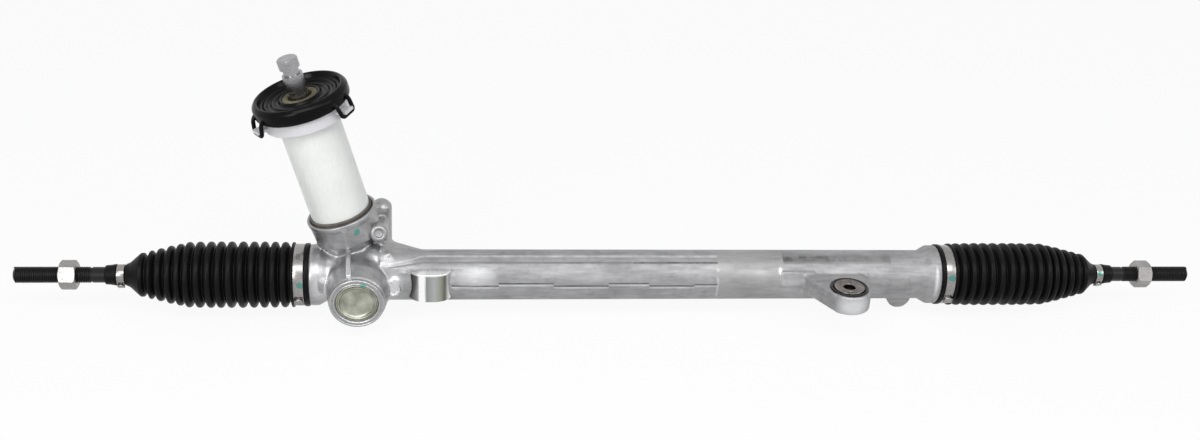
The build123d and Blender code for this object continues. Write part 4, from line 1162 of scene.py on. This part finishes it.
UP, BACK = Vector((0, 0, 1)), Vector((0, 1, 0))
LUG, LUG_DOME = Vector((-412, 84, 53.5)), 9.2
details = [
    disc("ejector_mark_left", on_tube(-139, 86), outward(86), 2.4, 0.5, dent=1.5),
    disc("ejector_mark_right", on_tube(51, 86), outward(86), 2.4, 0.5, dent=1.5),
    disc("nose_side_pad", off_bar(-210, -26, -1), Vector((0.1, -1, 0.3)), 6.0, 2.2, sink=12, dent=2.6),
    solid_bar("nose_side_web", off_bar(-209, -19, -4), off_bar(-209, -17, 16), 4.0, -BACK, 4.0, sink=10),
    solid_bar("case_shoulder", off_bar(-240, 0, 20), off_bar(-212, 0, 28.5), 32.0, UP, 1.5, sink=26),
    solid_bar("lug_bridge", LUG + UP * 3.5, LUG + Vector((-9.5, -9.5, 5)), 12.0, UP, 2.0, sink=38),
    solid_bar("ear_rib", on_tube(152, 108), off_bar(171, -33, -2), 2.6, UP, 1.4),
    solid_bar("ear_root", on_tube(134, 73), on_tube(164, 73), 14.0, outward(73), 1.3),
    solid_bar("ear_upright_left", on_tube(206, 92, 21.0), on_tube(206, 60), 3.0, outward(76), 1.4),
    solid_bar("ear_upright_right", on_tube(213, 92, 21.0), on_tube(213, 60), 3.0, outward(76), 1.4),
    solid_bar("cast_mark", on_tube(234, 78), on_tube(252, 78), 7.0, outward(78), 0.9),
    settle(sphere(8.5, on_bar(-210, -19, 5))), settle(sphere(15, on_bar(-227, -5, 16)))]
dome = sphere(LUG_DOME, LUG * MM)
cut_off((LUG - UP * 3.5) * MM, UP)
details.append(settle(dome))
print("cast details", len(details))

# %% [markdown]
# The copy of the CAD mesh comes in loose triangles, so its doubles are merged first. After
# the remesh, a gentle smooth rounds every inner corner by two or three millimetres, and two
# groups of places get more. The cast skin under the milled nose is drawn in a little, so that
# the nose made further on covers it.

# %% Housing casting
CELL, MOST_FACES = 0.85, 94000
source = frame["nodes"]["rack_housing"]
bpy.ops.object.select_all(action="DESELECT")
source.select_set(True)
bpy.context.view_layer.objects.active = source
bpy.ops.object.duplicate()
casting = bpy.context.object
casting.parent = None
bpy.ops.object.mode_set(mode="EDIT")
outwards()
settle(casting)
casting = join("rack_housing_casting", casting, *details)
apply_modifier(casting, "REMESH", mode="VOXEL", voxel_size=CELL * MM)
print("cells after the remesh", len(casting.data.polygons))
apply_modifier(casting, "SMOOTH", factor=0.5, iterations=4)


def on_nose(spot):
    """Whether a place, in mm from the middle of the bar, lies on the machined nose."""
    return -199 < spot.x < -158 and spot.y < -17.5 and -13.5 < spot.z < 15


def is_soft(spot):
    """Whether a place lies where the casting has its widest fillets."""
    rise = (spot + BAR_MIDDLE - CROSSING).dot(PINION_WAY)
    tower = -292 < spot.x < -150 and spot.z > -16 and rise < 46 and spot.y > -38
    pads = (spot.x > -221 and spot.y < -22) or (spot.x > -233 and spot.z > 28)
    return (tower and not on_nose(spot) and not pads) or (144 < spot.x < 176 and spot.y < -15)


def is_corner(spot):
    """Whether a place lies in the round corner between the case and the tower."""
    near = -246 < spot.x < -204 and -30 < spot.y < 18 and 6 < spot.z < 30
    return near and (spot.x < -221 or spot.y > -20)


spots = [v.co / MM - BAR_MIDDLE for v in casting.data.vertices]
for name, test, passes in (("soft", is_soft, 24), ("corner", is_corner, 50)):
    group = casting.vertex_groups.new(name=name)
    group.add([i for i, spot in enumerate(spots) if test(spot)], 1.0, "REPLACE")
    apply_modifier(casting, "SMOOTH", factor=0.5, iterations=passes, vertex_group=name)
bpy.ops.object.vertex_group_remove(all=True)
apply_modifier(casting, "DECIMATE", ratio=min(1.0, MOST_FACES / len(casting.data.polygons)))
bpy.ops.object.mode_set(mode="EDIT")
choose(casting, lambda v: on_nose(v.co / MM - BAR_MIDDLE), "VERT")
bpy.ops.transform.resize(value=(0.9, 0.9, 0.94), center_override=on_bar(NOSE_X, -14, 0.8))
bpy.ops.object.mode_set(mode="OBJECT")
bpy.ops.object.shade_smooth_by_angle(angle=radians(50))
print("soft places", sum(is_soft(spot) for spot in spots))

# %% [markdown]
# Two places on the casting are machined, and machined edges are crisp: the rim of the collar
# that the cover tube stands in, and the face round the yoke plug, which has a turned groove.
# They are turned as rings that sit on the casting. The fin across the case is a piece of its own too, with its bright
# finish a painted highlight, while the round pad between case and tower is joined to the casting.

# %% Machined rims
collar_rim = turned("collar_rim", pinion, [
    (51.0, 29.2), (54.5, 30.4), (57.0, 30.5), (57.7, 29.8), (57.7, 28.2), (56.6, 27.35), (51.0, 27.3)],
    {0.5: range(1, 6)}, steps=112)
yoke_rim = turned("yoke_rim", yoke, [
    (45.6, 22.8), (48.2, 23.5), (49.0, 22.9), (49.0, 21.6), (48.2, 21.1), (48.2, 20.3), (49.1, 19.8),
    (49.1, 18.9), (48.3, 18.3), (45.6, 18.2)], {0.3: range(1, 9)}, steps=112)
fin = solid_bar("front_fin", off_bar(-248.6, -10, 25.0), off_bar(-246.4, -45.5, 20.0),
                4.2, UPRIGHT, 4.4, sink=5)
apply_modifier(fin, "BEVEL", width=0.8 * MM, segments=3, limit_method="ANGLE", angle_limit=radians(40))
# Its finish is painted bright: a painted highlight.
place_piece(fin, "housing", "rack_housing", finish="fin_highlight_painted")
pad_line = Line(off_bar(-222.5, -5.5, 43.5), Vector((0.05, -1, 0.3)), ALONG)
lug_pad = turned("lug_pad", pad_line, [
    (-30, 0), (-30, 8.2), (-1.0, 8.2), (1.4, 6.8), (2.0, 5.2), (1.8, 3.9), (0.2, 3.2), (0.0, 0)],
    {1.4: (2, 3), 0.6: (4, 5, 6)}, closed=False, steps=48)
casting = join("rack_housing_casting", casting, lug_pad)
place_piece(casting, "housing", "rack_housing")
place_piece(collar_rim, "housing", "rack_housing")
place_piece(yoke_rim, "housing", "rack_housing", finish="machined_face")

# %% [markdown]
# The locating nose is milled after casting: its front is one smooth curve, and its finish paints upright bands of
# light and dark on it, as painted reflection and shade. Its plan is drawn as a wire, filled and raised.

# %% Milled nose
NOSE_STEPS, NOSE_BACK, NOSE_REACH, NOSE_LOW, NOSE_TALL = 32, -11, 17.3, -12.6, 26.9
FULLNESS = 0.8
plan = []
for step in range(NOSE_STEPS + 1):
    a = pi * step / NOSE_STEPS
    x, y = -cos(a), sin(a)
    aside = NOSE_HALF * (abs(x) ** FULLNESS) * (1 if x > 0 else -1)
    plan.append(off_bar(NOSE_X + aside, NOSE_BACK - NOSE_REACH * y ** FULLNESS, NOSE_LOW) * MM)
nose = draw("nose_face", plan[0], plan, closed=True)
bpy.ops.mesh.select_all(action="SELECT")
bpy.ops.mesh.edge_face_add()
bpy.ops.mesh.select_all(action="SELECT")
extrude(UP * NOSE_TALL * MM)
outwards()
settle(nose)
apply_modifier(nose, "BEVEL", width=1.0 * MM, segments=3, limit_method="ANGLE", angle_limit=radians(60))
bpy.ops.object.shade_smooth_by_angle(angle=radians(40))
place_piece(nose, "housing", "rack_housing", finish="milled_nose")

# %% [markdown]
# Last, the boxes of the CAD model and of the finished looks are written side by side, so that
# anything that grew out of the model shows up as a number.

# %% Sizes and finish
with open("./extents.json", "w") as out:
    json.dump({"cad": cad_box, "visual": [list(corner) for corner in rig.bounds()]}, out)
print(open("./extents.json").read())
